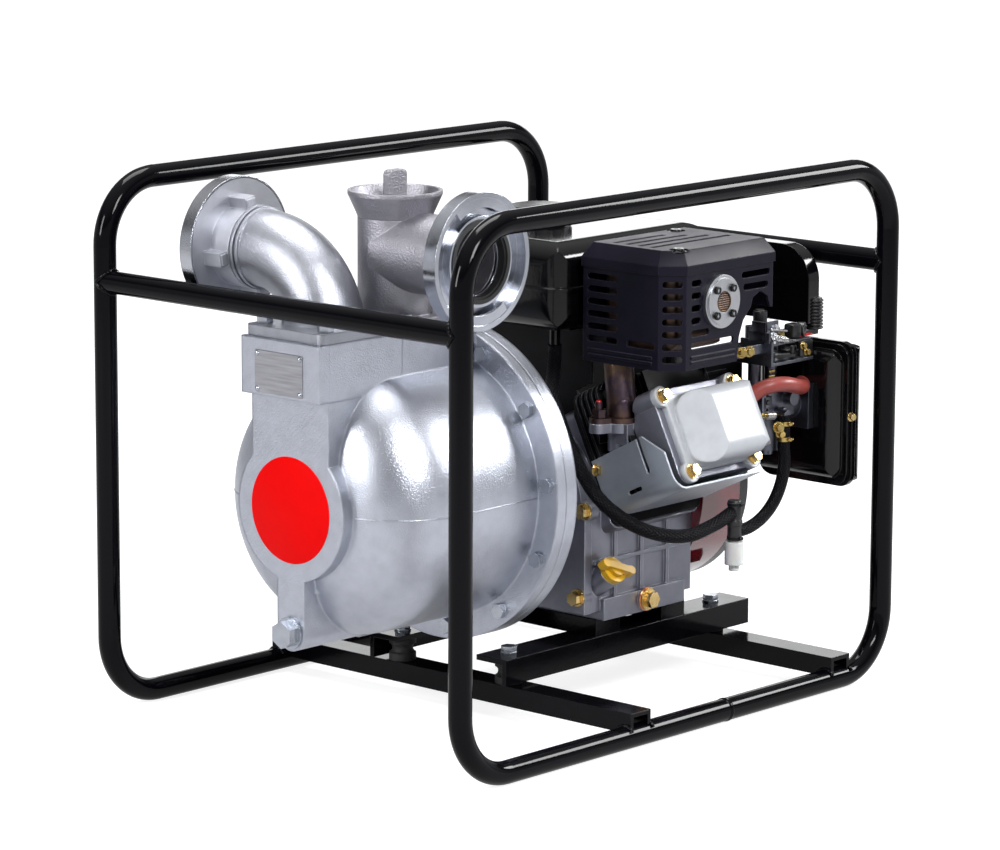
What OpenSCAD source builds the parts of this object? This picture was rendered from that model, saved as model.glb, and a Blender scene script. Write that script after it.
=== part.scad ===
// Portable fire pump: close coupled self priming pump and inclined engine in a tube frame.
// Millimetres, +Z up, ground at z = 0, +X from the pump to the engine, +Y to the suction side.

/* [Frame] */
// Outer length of the tube frame
frame_l = 621.7; // [620:0.1:680]
// Outer width over both side loops
frame_w = 467.1; // [464:0.1:540]
// Outer height of the side loops
frame_h = 510.3; // [508:0.1:560]
// Outer diameter of the frame tube
tube_d = 21.3; // [20:0.1:22.5]
// Centreline radius of the loop corners
bend_r = 60; // [45:1:75]
// Height of the cross tube axes
cross_z = 407.5; // [398:0.5:409]

/* [Pump] */
// Radius of the casing flange
casing_r = 150; // [146:0.5:156]
// Outer diameter of the two hose couplings
coupling_d = 126; // [116:0.5:127]
// Clear bore of both ports
bore_d = 64; // [60:0.5:66]
// Outer diameter of the port pipes
pipe_d = 71; // [70:0.5:72]
// Rim diameter of the priming funnel
funnel_d = 87; // [80:0.5:90]
// Height of the priming plug blade above its body
blade_h = 39.5; // [30:0.5:42]

/* [Engine] */
// Tilt of the cylinder above the horizontal
cyl_tilt = 26; // [25:0.5:27]
// Length of the muffler guard along X
guard_l = 148; // [144:0.5:152]
// Length of the fuel tank along X
tank_l = 224; // [200:1:230]
// Outer radius of the blower drum
drum_r = 105; // [100:0.5:106]
// Height of the air cleaner
cleaner_h = 137; // [125:0.5:138]
// Arm length of the throttle lever
lever_l = 26; // [20:0.5:28]

/* [Hidden] */
$fn = 64;
tube_r = tube_d / 2;
leg_x = frame_l / 2 - tube_r;
loop_y = frame_w / 2 - tube_r;
low_z = tube_r;
high_z = frame_h - tube_r;
run = 0.05;
gap = 0.3;

// base and bed rails
deck_z = 34;
base_w = 28;
base_wall = 4;
base_low = 15;
base_end = frame_w / 2 - 4;
base_x = [-65, 230];
bed_z = 62;
bed_t = 5;
bed_y = 87;
bed_flange = 37;
bed_x0 = -90;
bed_x1 = 266;
bed_drop = 24.5;
mount_y = 68;
mount_w = 26;
strap_x = [54, 150];
strap_w = 34;
foot_z = 79;
foot_top = 100;
foot_y = 81;

// pump
axis_z = 221;
shaft_z = 184;
flange_x = -78;
flange_t = 12;
plate_t = 14;
dome_r = casing_r - 24;
wall = 7;
front_x = -284;
block_x = -296;
block_z = 377;
block_w = 98;
drain_z = 108;
port_z = 446;
port_r = bore_d / 2;
pipe_r = pipe_d / 2;
collar_r = 40.5;
coup_r = coupling_d / 2;
coup_t = 14.5;
suck_x = -235;
suck_face = 126;
elbow_r = 78;
neck_l = 23;
neck_r = 38;
bead_r = 37.5;
tee_x = -147;
tee_face = -108;
tee_top = 498.5;
flare_h = 24;
flare = [[pipe_r - 1, -flare_h], [pipe_r + 0.5, -flare_h + 4], [funnel_d / 2, -3.5], [funnel_d / 2, 0]];
bolt_n = 12;
bolt_r = casing_r - 12;
vol_x0 = -172;
vol_x1 = -150;
vol_r = 72;
imp_r = 60;
shaft_r = 12.5;
flap_y = 77.7;
flap_t = 6;
flap_r = 27;
flap_dz = -2;
flap_pin = 25;
pin_r = 2;

// engine
case_x0 = 24;
case_x1 = 172;
case_y = 90;
case_r = 86;
cover_x = 14;
hub_x = -40;
hub_r = 70;
cyl_x = 103;
seat_s = 88;
head_s0 = 150;
fin_w = 68;
fin_low = 50;
fin_t = 3;
fin_n = 8;
fin_pitch = (head_s0 - seat_s - 8 - fin_t - 1) / (fin_n - 1);
head_s1 = 184;
head_w = 60;
head_h = 44;
exh = [46, -106];
exh_z = 272;
guard_x = 30;
guard_y0 = -184;
guard_y1 = -71;
guard_z0 = 327.5;
guard_z1 = 439;
guard_x1 = guard_x + guard_l;
guard_seam = guard_z1 - 22.5;
guard_ridge = guard_z1 - 13.5;
bevel_w = 8;
bevel_a = atan2(bevel_w, guard_z1 - guard_ridge);
slot_z = guard_seam - 8.5;
slot_p = 11.7;
guard_c = 19;
guard_t = 2.5;
muff_z0 = 342;
muff_z1 = 424;
out_x = 98;
out_z = 387.5;
in_y = -150;
in_z = 270;
ac_x0 = 250;
ac_x1 = 268;
ac_x2 = 289;
ac_y0 = -209;
ac_y1 = -100;
ac_z1 = 328;
ac_z0 = ac_z1 - cleaner_h;
tank_x = 8;
tank_y0 = -62;
tank_y1 = 150;
tank_z0 = 352;
tank_z1 = 436;
cap_x = 120;
cap_y = 60;
drum_x0 = 172;
drum_x1 = 228;
drum_t = 3;
fly_r = 88;
rec_x = drum_x1 + 34;
rec_r = 78;
grip_y = 104;
grip_z = 226;
grip_x = rec_x - 10.5;
top_y0 = -157;
top_y1 = 60;
top_z0 = 343;
top_z1 = 418;
top_x0 = 264;
top_x1 = 280;
dip_x = 22;
dip_l = 41;
ctrl_z = 314;
thr_x = 196;
thr_y = -146;
cho_x = 236;
cho_y = -150;
case_bolts = [[-92, 188], [-84, 104], [84, 104], [92, 188], [0, 268]];
head_bolts = [[-53, 37], [-49, -38], [42, -37], [48, 37]];
cock_x = 130;
cock_y = -178;
tank_out = [40, -30, 324];
hose_t = [2, -60, 300];
hose_a = [[0, -112, 214], [22, -156, 179], [74, -177, 170], [cock_x - 2, cock_y, 183]];
hose_b = [[200, in_y - 30, 236], [181, -182, 182], [cock_x + 2, cock_y, 163]];

// helpers
module bar_x(x0, x1, r, y, z) {
  translate([x0, y, z]) rotate([0, 90, 0]) cylinder(h = x1 - x0, r = r);
}

module bar_y(y0, y1, r, x, z) {
  translate([x, y0, z]) rotate([-90, 0, 0]) cylinder(h = y1 - y0, r = r);
}

module bar_z(z0, z1, r, x, y) {
  translate([x, y, z0]) cylinder(h = z1 - z0, r = r);
}

module box(x0, x1, y0, y1, z0, z1) {
  translate([x0, y0, z0]) cube([x1 - x0, y1 - y0, z1 - z0]);
}

module rrect(x0, x1, y0, y1, r) {
  translate([x0 + r, y0]) square([x1 - x0 - 2 * r, y1 - y0]);
  translate([x0, y0 + r]) square([x1 - x0, y1 - y0 - 2 * r]);
  for (x = [x0 + r, x1 - r], y = [y0 + r, y1 - r]) translate([x, y]) circle(r);
}

module slab(x0, x1, y0, y1, z0, z1, r) {
  translate([0, 0, z0]) linear_extrude(z1 - z0) rrect(x0, x1, y0, y1, r);
}

// box with rounded edges all round
module rbox(x0, x1, y0, y1, z0, z1, r) {
  intersection() {
    slab(x0, x1, y0, y1, z0, z1, r);
    translate([x1, 0, 0]) rotate([0, -90, 0]) linear_extrude(x1 - x0) rrect(z0, z1, y0, y1, r);
    translate([0, y1, 0]) rotate([90, 0, 0]) linear_extrude(y1 - y0) rrect(x0, x1, z0, z1, r);
  }
}

module hex(af, h) {
  cylinder(h = h, r = af / sqrt(3), $fn = 6);
}

// body of revolution about an axis along X, profile given as (radius, x)
module spin_x(z) {
  translate([0, 0, z]) rotate([0, 90, 0]) rotate_extrude($fn = 96) children();
}

// profile in the Y-Z plane pushed from x0 to x1
module push_x(x0, x1) {
  translate([x0, 0, 0]) rotate([90, 0, 90]) linear_extrude(x1 - x0) children();
}

// local frame of the inclined cylinder: z along its axis, y upward across it
module on_cyl() {
  translate([cyl_x, 0, shaft_z]) rotate([90 - cyl_tilt, 0, 0]) children();
}

function cyl_pt(x, t, s) = [cyl_x + x, t * sin(cyl_tilt) - s * cos(cyl_tilt),
  shaft_z + t * cos(cyl_tilt) + s * sin(cyl_tilt)];

// straight round bar between two points
module rod(a, b, r) {
  d = b - a;
  l = norm(d);
  translate(a) rotate([0, acos(d[2] / l), atan2(d[1], d[0])]) cylinder(h = l, r = r);
}

// round bar bent along the circle through three points
module arc3(a, b, c, r) {
  u = b - a;
  v = c - a;
  n0 = cross(u, v);
  n = n0 / norm(n0);
  o = a + (cross(n0, u) * (v * v) + cross(v, n0) * (u * u)) / (2 * (n0 * n0));
  pb = acos(n[2]);
  pc = atan2(n[1], n[0]);
  ex = [cos(pb) * cos(pc), cos(pb) * sin(pc), -sin(pb)];
  ey = [-sin(pc), cos(pc), 0];
  a0 = atan2((a - o) * ey, (a - o) * ex);
  a1 = atan2((c - o) * ey, (c - o) * ex);
  sweep = a1 > a0 ? a1 - a0 : a1 - a0 + 360;
  translate(o) rotate([0, pb, pc]) rotate([0, 0, a0]) rotate_extrude(angle = sweep)
    translate([norm(a - o), 0]) circle(r);
}

// frame
module loop(y) {
  translate([0, y, 0]) {
    for (z = [low_z, high_z]) bar_x(-leg_x + bend_r, leg_x - bend_r, tube_r, 0, z);
    for (x = [-leg_x, leg_x]) bar_z(low_z + bend_r, high_z - bend_r, tube_r, x, 0);
    for (c = [[1, 1, 0], [-1, 1, 90], [-1, -1, 180], [1, -1, 270]])
      translate([c[0] * (leg_x - bend_r), 0, (low_z + high_z) / 2 + c[1] * ((high_z - low_z) / 2 - bend_r)])
        rotate([90, 0, 0]) rotate([0, 0, c[2]]) rotate_extrude(angle = 90)
          translate([bend_r, 0]) circle(tube_r);
  }
}

module side_loop_near() {
  color("#111114") loop(-loop_y);
}

module side_loop_far() {
  color("#111114") loop(loop_y);
}

module cross_tube(x) {
  difference() {
    bar_y(-loop_y, loop_y, tube_r, x, cross_z);
    for (y = [-loop_y, loop_y]) bar_z(cross_z - 30, cross_z + 30, tube_r, x, y);
  }
}

module cross_tube_front() {
  color("#111114") cross_tube(-leg_x);
}

module cross_tube_rear() {
  color("#111114") cross_tube(leg_x);
}

module base_rail(x) {
  difference() {
    box(x - base_w / 2, x + base_w / 2, -base_end, base_end, base_low, deck_z);
    box(x - base_w / 2 + base_wall, x + base_w / 2 - base_wall, -base_end - 1, base_end + 1,
      base_low - 1, deck_z - base_wall);
    for (y = [-loop_y, loop_y]) loop(y);
    for (y = [-mount_y, mount_y]) bar_z(0, deck_z + 1, 4.3, x, y);
  }
}

module base_rail_front() {
  color("#131316") base_rail(base_x[0]);
}

module base_rail_rear() {
  color("#131316") base_rail(base_x[1]);
}

module bed_rail(s) {
  mirror([0, s > 0 ? 0 : 1, 0]) difference() {
    union() {
      box(bed_x0, bed_x1, bed_y - bed_flange, bed_y, bed_z - bed_t, bed_z);
      box(bed_x0, bed_x1, bed_y - bed_t, bed_y, bed_z - bed_drop, bed_z);
    }
    for (x = base_x) bar_z(0, bed_z + 1, 4.3, x, mount_y);
    for (x = strap_x) bar_z(0, bed_z + 1, 4.3, x, foot_y - 6);
  }
}

module bed_rail_near() {
  color("#131316") bed_rail(-1);
}

module bed_rail_far() {
  color("#131316") bed_rail(1);
}

module rubber_mounts() {
  color("#1b1b1c") for (x = base_x, y = [-mount_y, mount_y]) difference() {
    translate([x, y, deck_z]) cylinder(h = bed_z - bed_t - deck_z, r = mount_w / 2);
    bar_z(deck_z - 1, bed_z, 4.3, x, y);
    translate([x, y, (deck_z + bed_z - bed_t) / 2]) rotate_extrude()
      translate([mount_w / 2 + 2, 0]) circle(5);
  }
}

module engine_straps() {
  color("#161618") for (x = strap_x) difference() {
    box(x - strap_w / 2, x + strap_w / 2, -bed_y, bed_y, bed_z, foot_z);
    for (y = [-foot_y + 6, foot_y - 6]) bar_z(bed_z - 1, foot_z + 1, 4.3, x, y);
  }
}

module frame_bolts() {
  color("#b9bcc0") {
    for (x = base_x, y = [-mount_y, mount_y]) {
      bar_z(deck_z - base_wall - 8, bed_z, 4, x, y);
      bar_z(bed_z, bed_z + 1.6, 8, x, y);
      translate([x, y, bed_z + 1.6]) hex(13, 5.5);
      translate([x, y, deck_z - base_wall - 6.5]) hex(13, 6.5);
    }
    for (x = strap_x, y = [-foot_y + 6, foot_y - 6]) {
      bar_z(bed_z - bed_t - 9, foot_top, 4, x, y);
      bar_z(foot_top, foot_top + 1.6, 8, x, y);
      translate([x, y, foot_top + 1.6]) hex(13, 5.5);
      translate([x, y, bed_z - bed_t - 6.5]) hex(13, 6.5);
    }
  }
}

// pump
module dome(in) {
  intersection() {
    union() {
      translate([0, front_x + 12 + in]) square([dome_r - 72, flange_x - front_x - 12 - in]);
      translate([0, -200]) square([dome_r - in, 200 + flange_x]);
      translate([dome_r - 72, -200]) circle(72 - in);
    }
    translate([0, front_x]) square([casing_r, flange_x - front_x]);
  }
}

module pump_casing() {
  color("#b4b7ba") difference() {
    union() {
      difference() {
        union() {
          spin_x(axis_z) dome(0);
          bar_x(flange_x - flange_t, flange_x, casing_r, 0, axis_z);
          box(front_x, flange_x - flange_t, -block_w / 2 + 1, block_w / 2 - 1, axis_z, block_z);
          box(block_x, suck_x + 46, -block_w / 2, block_w / 2, block_z - 52, block_z);
          bar_x(front_x, -220, 66, 0, axis_z);
          box(front_x, -200, -17, 17, drain_z, axis_z);
          bar_x(front_x, -200, 17, 0, drain_z);
          // ribs between the flange and the shoulder of the dome
          box(-200, flange_x - 2, -4, 4, axis_z - dome_r - 5, axis_z);
        }
        spin_x(axis_z) dome(wall);
        bar_x(flange_x - 1, flange_x + 1, dome_r - wall, 0, axis_z);
        box(suck_x + 43, flange_x - flange_t - 6, -block_w / 2 + 8, block_w / 2 - 8, axis_z, block_z - 8);
      }
      intersection() {
        bar_z(shaft_z - 40, block_z, port_r + 6.5, suck_x, 0);
        box(front_x, flange_x, -60, 60, 0, block_z);
      }
      bar_x(suck_x, vol_x0, 36, 0, shaft_z);
    }
    bar_z(shaft_z - 32, block_z + 1, port_r, suck_x, 0);
    bar_x(suck_x, vol_x0 + 1, 30, 0, shaft_z);
    bar_z(block_z - 20, block_z + 1, 30, tee_x, 0);
    for (i = [1 : bolt_n - 1]) rotate_about(i)
      bar_x(flange_x - flange_t - 1, flange_x + 1, 4.3, 0, bolt_r);
    bar_x(front_x - 1, -190, 8, 0, drain_z);
    for (x = [-38, 38], y = [-38, 38]) bar_z(block_z - 14, block_z + 1, 4, suck_x - 4 + x, y);
    for (x = [-26, 26], y = [-38, 38]) bar_z(block_z - 7, block_z + 1, 3, tee_x + x, y);
  }
}

module rotate_about(i) {
  translate([0, 0, axis_z]) rotate([i * 360 / bolt_n - 5.5, 0, 0]) children();
}

module pump_backplate() {
  color("#8d9093") difference() {
    union() {
      bar_x(flange_x, flange_x + plate_t, casing_r, 0, axis_z);
      bar_x(flange_x + plate_t, hub_x, 92, 0, shaft_z);
    }
    bar_x(flange_x - 1, flange_x + 12, 22, 0, shaft_z);
    bar_x(flange_x, hub_x + 1, 16, 0, shaft_z);
    bar_x(flange_x + plate_t + 6, hub_x + 1, hub_r - 10, 0, shaft_z);
    for (i = [1 : bolt_n - 1]) rotate_about(i) bar_x(flange_x - 1, flange_x + plate_t + 1, 4, 0, bolt_r);
  }
}

module volute() {
  color("#77797c") difference() {
    union() {
      bar_x(vol_x1, flange_x, vol_r, 0, shaft_z);
      bar_x(vol_x0, vol_x1 + 1, 36, 0, shaft_z);
    }
    bar_x(vol_x1 + 5, flange_x + 1, vol_r - 6, 0, shaft_z);
    bar_x(vol_x0 - 1, vol_x1 + 6, 29, 0, shaft_z);
    box(vol_x1 + 12, flange_x - 12, -22, 22, shaft_z, shaft_z + vol_r + 5);
  }
}

module impeller() {
  color("#a5702f") difference() {
    union() {
      bar_x(-104, -98, imp_r, 0, shaft_z);
      bar_x(-126, -94, 20, 0, shaft_z);
      for (i = [0 : 4]) translate([0, 0, shaft_z]) rotate([i * 72, 0, 0])
        box(-124, -103, -2.5, 2.5, 15, imp_r);
    }
    bar_x(-130, -90, shaft_r - 2, 0, shaft_z);
  }
}

module impeller_nut() {
  color("#b9bcc0") difference() {
    translate([-136, 0, shaft_z]) rotate([0, 90, 0]) hex(30, 10);
    bar_x(-137, -125, 8, 0, shaft_z);
  }
}

module shaft_seal() {
  color("#2a2a2c") difference() {
    bar_x(flange_x, flange_x + 12, 22, 0, shaft_z);
    bar_x(flange_x - 1, flange_x + 13, shaft_r + run, 0, shaft_z);
  }
}

// elbow pieces for the outside and for the bore
module bend(r) {
  intersection() {
    translate([suck_x, elbow_r, port_z - elbow_r]) rotate([90, 0, -90])
      rotate_extrude(angle = 90) translate([elbow_r, 0]) circle(r);
    box(suck_x - 60, suck_x + 60, -60, elbow_r, block_z, port_z + 60);
  }
  bar_y(elbow_r, suck_face - coup_t, r, suck_x, port_z);
}

module suction_elbow() {
  color("#a9abad") {
    difference() {
      union() {
        slab(block_x + 4, suck_x + 46, -block_w / 2 + 1, block_w / 2 - 1, block_z, block_z + 10, 6);
        bar_z(block_z + 10, block_z + 15, collar_r, suck_x, 1.5);
        bend(pipe_r);
        // two beads ahead of the coupling neck
        for (i = [0, 1]) bar_y(elbow_r + 0.5 + 5 * i, elbow_r + 4 + 5 * i, bead_r + i, suck_x, port_z);
      }
      difference() {
        union() {
          bar_z(block_z - 1, block_z + 0.5, port_r, suck_x, 0);
          bend(port_r);
          bar_y(suck_face - coup_t - 1, suck_face - coup_t + 1, port_r, suck_x, port_z);
        }
        difference() {
          bar_y(flap_y + flap_t + gap, flap_y + flap_t + gap + 4, port_r + 1, suck_x, port_z);
          bar_y(flap_y, flap_y + flap_t + 10, flap_r - 5, suck_x, port_z + flap_dz);
        }
      }
      for (x = [-38, 38], y = [-38, 38]) bar_z(block_z - 1, block_z + 11, 4.3, suck_x - 4 + x, y);
    }
    bar_x(suck_x - pipe_r + 12, suck_x + pipe_r - 12, pin_r, flap_y + flap_t / 2, port_z + flap_pin);
  }
}

module check_flap() {
  color("#3a3a3c") difference() {
    union() {
      bar_y(flap_y, flap_y + flap_t, flap_r, suck_x, port_z + flap_dz);
      bar_x(suck_x - 7, suck_x + 7, 4.4, flap_y + flap_t / 2 - 1.4, port_z + flap_pin);
    }
    bar_x(suck_x - 30, suck_x + 30, pin_r + gap, flap_y + flap_t / 2, port_z + flap_pin);
    box(suck_x - 30, suck_x - 7, flap_y - 9, flap_y + 12, port_z + flap_pin - 7, port_z + 40);
    box(suck_x + 7, suck_x + 30, flap_y - 9, flap_y + 12, port_z + flap_pin - 7, port_z + 40);
    bar_x(suck_x - 30, suck_x + 30, 1, flap_y + flap_t + 6, port_z);
  }
}

// claw coupling about +Z, face at z = 0, body below it
module coupling() {
  difference() {
    translate([0, 0, -coup_t]) cylinder(h = coup_t, r = coup_r);
    translate([0, 0, -coup_t - 1]) cylinder(h = coup_t + 2, r = port_r);
    // ring shaped pocket between the rim and the seal seat
    difference() {
      translate([0, 0, -coup_t + 4]) cylinder(h = coup_t, r = coup_r - 5);
      translate([0, 0, -coup_t]) cylinder(h = coup_t - 2, r = port_r + 9.5);
    }
    translate([0, 0, -11]) cylinder(h = 12, r = port_r + 6.5);
  }
  // two claws that reach inward behind the rim, each with a stop
  for (a = [0, 180]) rotate([0, 0, a]) {
    intersection() {
      difference() {
        translate([0, 0, -5]) cylinder(h = 4.5, r = coup_r - 4);
        translate([0, 0, -6]) cylinder(h = 7, r = coup_r - 14);
      }
      translate([0, 0, -6]) linear_extrude(7) polygon([[0, 0], [coup_r * 0.72, coup_r], [-coup_r * 0.72, coup_r]]);
    }
    intersection() {
      difference() {
        translate([0, 0, -coup_t + 3.9]) cylinder(h = coup_t - 4.4, r = coup_r - 4);
        translate([0, 0, -coup_t]) cylinder(h = coup_t + 3, r = coup_r - 14);
      }
      rotate([0, 0, 54]) translate([0, -5, -coup_t]) cube([coup_r, 10, coup_t + 3]);
    }
  }
}

module neck_lugs() {
  difference() {
    union() {
      translate([0, 0, -coup_t - neck_l]) cylinder(h = neck_l + 0.1, r = neck_r);
      for (a = [80, 170, 260, 350]) rotate([0, 0, a]) {
        translate([neck_r - 3, -6.5, -coup_t - neck_l + 2]) cube([12, 13, neck_l - 1.9]);
        translate([neck_r - 3, -5, -coup_t - neck_l + 0.5]) cube([10.5, 10, neck_l]);
      }
    }
    translate([0, 0, -coup_t - neck_l - 1]) cylinder(h = neck_l + 1, r = pipe_r);
    translate([0, 0, -coup_t - 1]) cylinder(h = 2, r = port_r);
  }
}

module suction_coupling() {
  color("#b2b5b8") translate([suck_x, suck_face, port_z]) rotate([-90, 0, 0]) {
    coupling();
    neck_lugs();
  }
}

module seal_ring() {
  difference() {
    translate([0, 0, -11]) cylinder(h = 10, r = port_r + 6.5);
    translate([0, 0, -12]) cylinder(h = 12, r = port_r + 0.5);
    translate([0, 0, -3]) cylinder(h = 4, r = port_r + 2.5);
  }
}

module suction_seal() {
  color("#1a1a1b") translate([suck_x, suck_face, port_z]) rotate([-90, 0, 0]) seal_ring();
}

module discharge_tee() {
  color("#a9abad") difference() {
    union() {
      slab(tee_x - 35, tee_x + 35, -46, 46, block_z, block_z + 9, 5);
      bar_z(block_z + 9, tee_top - flare_h, pipe_r - 1, tee_x, 0);
      bar_y(tee_face + coup_t, 0, pipe_r + 1.5, tee_x, port_z - 3);
      bar_y(tee_face + coup_t, tee_face + coup_t + 9, collar_r, tee_x, port_z - 3);
    }
    bar_z(block_z - 1, tee_top - flare_h - 10, port_r - 2, tee_x, 0);
    bar_y(tee_face + coup_t - 1, 0, port_r, tee_x, port_z - 3);
    bar_z(tee_top - flare_h - 12, tee_top, 15, tee_x, 0);
    bar_z(tee_top - flare_h - 2, tee_top, pipe_r - 4.5, tee_x, 0);
    translate([tee_x, 0, tee_top]) rotate_extrude() polygon(concat([[0, 1], [0, -flare_h]], flare));
    for (x = [-26, 26], y = [-38, 38]) bar_z(block_z - 1, block_z + 10, 3.3, tee_x + x, y);
  }
}

// flared rim that the priming water is poured into
module priming_funnel() {
  color("#a9abad") translate([tee_x, 0, tee_top]) rotate_extrude()
    polygon(concat([[pipe_r - 3.5, -flare_h + 5], [pipe_r - 4.5, -flare_h]], flare,
      [[funnel_d / 2 - 3.2, 0]]));
}

module discharge_coupling() {
  color("#b2b5b8") translate([tee_x, tee_face, port_z - 3]) rotate([90, 0, 0]) coupling();
}

module discharge_seal() {
  color("#1a1a1b") translate([tee_x, tee_face, port_z - 3]) rotate([90, 0, 0]) seal_ring();
}

// stopper with a flat thumb blade
module priming_plug() {
  color("#9da0a3") translate([tee_x, 0, tee_top - 26]) {
    translate([0, 0, -9]) cylinder(h = 9, r = 15 - gap);
    cylinder(h = 5, r = 21);
    translate([0, 4, 0]) rotate([90, 0, 0]) linear_extrude(8) {
      translate([-11.5, 0]) square([23, blade_h]);
      translate([-6.5, 0]) square([13, blade_h + 5]);
      for (x = [-6.5, 6.5]) translate([x, blade_h]) circle(5);
    }
  }
}

module drain_plug() {
  color("#a9adb1") {
    bar_x(front_x, -196, 8 - gap, 0, drain_z);
    bar_x(front_x - 3, front_x, 15, 0, drain_z);
    translate([front_x - 13, 0, drain_z]) rotate([0, 90, 0]) hex(22, 10.5);
  }
}

module pump_bolts() {
  color("#aeb2b6") {
    for (i = [1 : bolt_n - 1]) rotate_about(i) {
      bar_x(flange_x - flange_t, flange_x + plate_t, 4, 0, bolt_r);
      translate([flange_x - flange_t - 5.5, 0, bolt_r]) rotate([0, 90, 0]) hex(13, 5.5);
    }
    for (x = [-38, 38], y = [-38, 38]) {
      bar_z(block_z - 13, block_z + 10, 4, suck_x - 4 + x, y);
      translate([suck_x - 4 + x, y, block_z + 10]) hex(13, 7);
    }
    for (x = [-26, 26], y = [-38, 38]) {
      bar_z(block_z - 6, block_z + 9, 3, tee_x + x, y);
      translate([tee_x + x, y, block_z + 9]) hex(10, 5);
    }
  }
}

// engine
module case_profile(g) {
  translate([0, shaft_z]) circle(case_r + g);
  translate([-case_y - g, foot_top - 12]) square([2 * case_y + 2 * g, shaft_z - foot_top + 12]);
}

module crankcase() {
  color("#83868b") difference() {
    union() {
      push_x(case_x0, case_x1) case_profile(0);
      box(39, 157, -95, 95, foot_z, foot_top);
      on_cyl() translate([0, 0, 20]) linear_extrude(seat_s - 20) rrect(-64, 64, -60, 60, 10);
      // stiffening ribs on both long sides
      for (x = [58, 96, 134]) box(x - 2, x + 2, -case_y - 3, case_y + 3, foot_top - 2, 170);
      box(case_x0 + 4, case_x1 - 4, -case_y - 3, case_y + 3, 134, 138);
      // oil filler neck
      rod([dip_x + 16, -70, 104], [dip_x + 16, -70 - dip_l * cos(35), 104 + dip_l * sin(35)], 13);
      // drain boss
      bar_y(-98, -80, 11, 99, 91);
    }
    bar_x(case_x0 - 1, case_x1 + 1, shaft_r + run, 0, shaft_z);
    for (x = strap_x, y = [-foot_y + 6, foot_y - 6]) bar_z(foot_z - 1, foot_top + 20, 4.3, x, y);
    for (x = strap_x, y = [-foot_y + 6, foot_y - 6]) bar_z(foot_top, foot_top + 16, 13, x, y);
    rod([dip_x + 16, -70 - 10 * cos(35), 104 + 10 * sin(35)],
      [dip_x + 16, -70 - (dip_l + 6) * cos(35), 104 + (dip_l + 6) * sin(35)], 8);
    bar_y(-99, -84, 6, 99, 91);
  }
}

module dipstick() {
  dip_at = [dip_x + 16, -70 - dip_l * cos(35), 104 + dip_l * sin(35)];
  color("#e0a715") translate(dip_at) rotate([90 - 35, 0, 0]) {
    translate([0, 0, -22]) cylinder(h = 22, r = 8 - gap);
    translate([0, 0, gap]) cylinder(h = 6, r = 13);
    cylinder(h = 3, r = 8 - gap);
    translate([0, 0, 5]) cylinder(h = 6, r = 8);
    rotate([0, 0, 65]) {
      translate([-3.5, -15, 5]) cube([7, 30, 9]);
      for (y = [-15, 15]) translate([0, y, 5]) cylinder(h = 9, r = 4.5);
    }
  }
}

module oil_drain_bolt() {
  color("#b98f3a") {
    bar_y(-98, -86, 6, 99, 91);
    bar_y(-100, -98, 10.5, 99, 91);
    translate([99, -100, 91]) rotate([90, 0, 0]) hex(14, 7);
  }
}

module crankcase_cover() {
  color("#7b7e83") difference() {
    union() {
      push_x(cover_x, case_x0) case_profile(2);
      for (p = case_bolts) bar_x(cover_x, case_x0, 9, p[0], p[1]);
      bar_x(hub_x, cover_x + 1, hub_r, 0, shaft_z);
      for (a = [20 : 45 : 340]) translate([0, 0, shaft_z]) rotate([a, 0, 0])
        box(hub_x + 18, cover_x + 1, -2.5, 2.5, hub_r - 4, case_r - 6);
    }
    bar_x(hub_x - 1, case_x0 + 1, shaft_r + run, 0, shaft_z);
    bar_x(hub_x - 1, hub_x + 24, hub_r - 22, 0, shaft_z);
    for (p = case_bolts) bar_x(cover_x - 1, case_x0 + 1, 4, p[0], p[1]);
  }
}

module engine_bolts() {
  color("#b3913f") {
    for (p = case_bolts) {
      bar_x(cover_x, case_x0, 4, p[0], p[1]);
      bar_x(cover_x - 2, cover_x, 8.5, p[0], p[1]);
      translate([cover_x - 9, p[0], p[1]]) rotate([0, 90, 0]) hex(12, 7.1);
    }
    on_cyl() for (p = head_bolts) {
      translate([p[0], p[1], head_s1]) cylinder(h = 6, r = 3);
      translate([p[0], p[1], head_s1 + 6]) cylinder(h = 1.5, r = 7);
      translate([p[0], p[1], head_s1 + 7.5]) hex(10, 6);
    }
  }
}

module crankshaft() {
  color("#9a9da1") {
    bar_x(-138, -126, 8, 0, shaft_z);
    bar_x(-126, -94, shaft_r - 2, 0, shaft_z);
    bar_x(-94, drum_x1 - 4, shaft_r, 0, shaft_z);
  }
}

module flywheel() {
  color("#6f7276") difference() {
    union() {
      bar_x(drum_x0 + 12, drum_x0 + 40, fly_r, 0, shaft_z);
      for (i = [0 : 11]) translate([0, 0, shaft_z]) rotate([i * 30, 0, 0])
        box(drum_x0 + 39, drum_x1 - 6, -1.5, 1.5, 40, fly_r - 4);
    }
    bar_x(drum_x0 + 11, drum_x1, shaft_r, 0, shaft_z);
    bar_x(drum_x0 + 22, drum_x0 + 41, 36, 0, shaft_z);
  }
}

module cylinder_fin(s) {
  translate([0, 0, s]) linear_extrude(fin_t) rrect(-fin_w, fin_w, -fin_low, 72, 12);
}

module cylinder_block() {
  difference() {
    union() {
      on_cyl() translate([0, 0, seat_s]) cylinder(h = head_s0 - seat_s, r = 46);
      on_cyl() translate([0, 0, seat_s]) linear_extrude(5) rrect(-64, 64, -58, 62, 10);
      for (i = [0 : fin_n - 1]) on_cyl() cylinder_fin(seat_s + 8 + i * fin_pitch);
    }
    box(exh[0] - 17, exh[0] + 17, exh[1] - 21, exh[1] + 15, exh_z - 32, exh_z + 10);
    box(exh[0] - 36, exh[0] + 36, exh[1] - 60, exh[1] + 16, exh_z - 10, exh_z + 90);
  }
}

module engine_cylinder() {
  color("#1d1d1f") cylinder_block();
}

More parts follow.
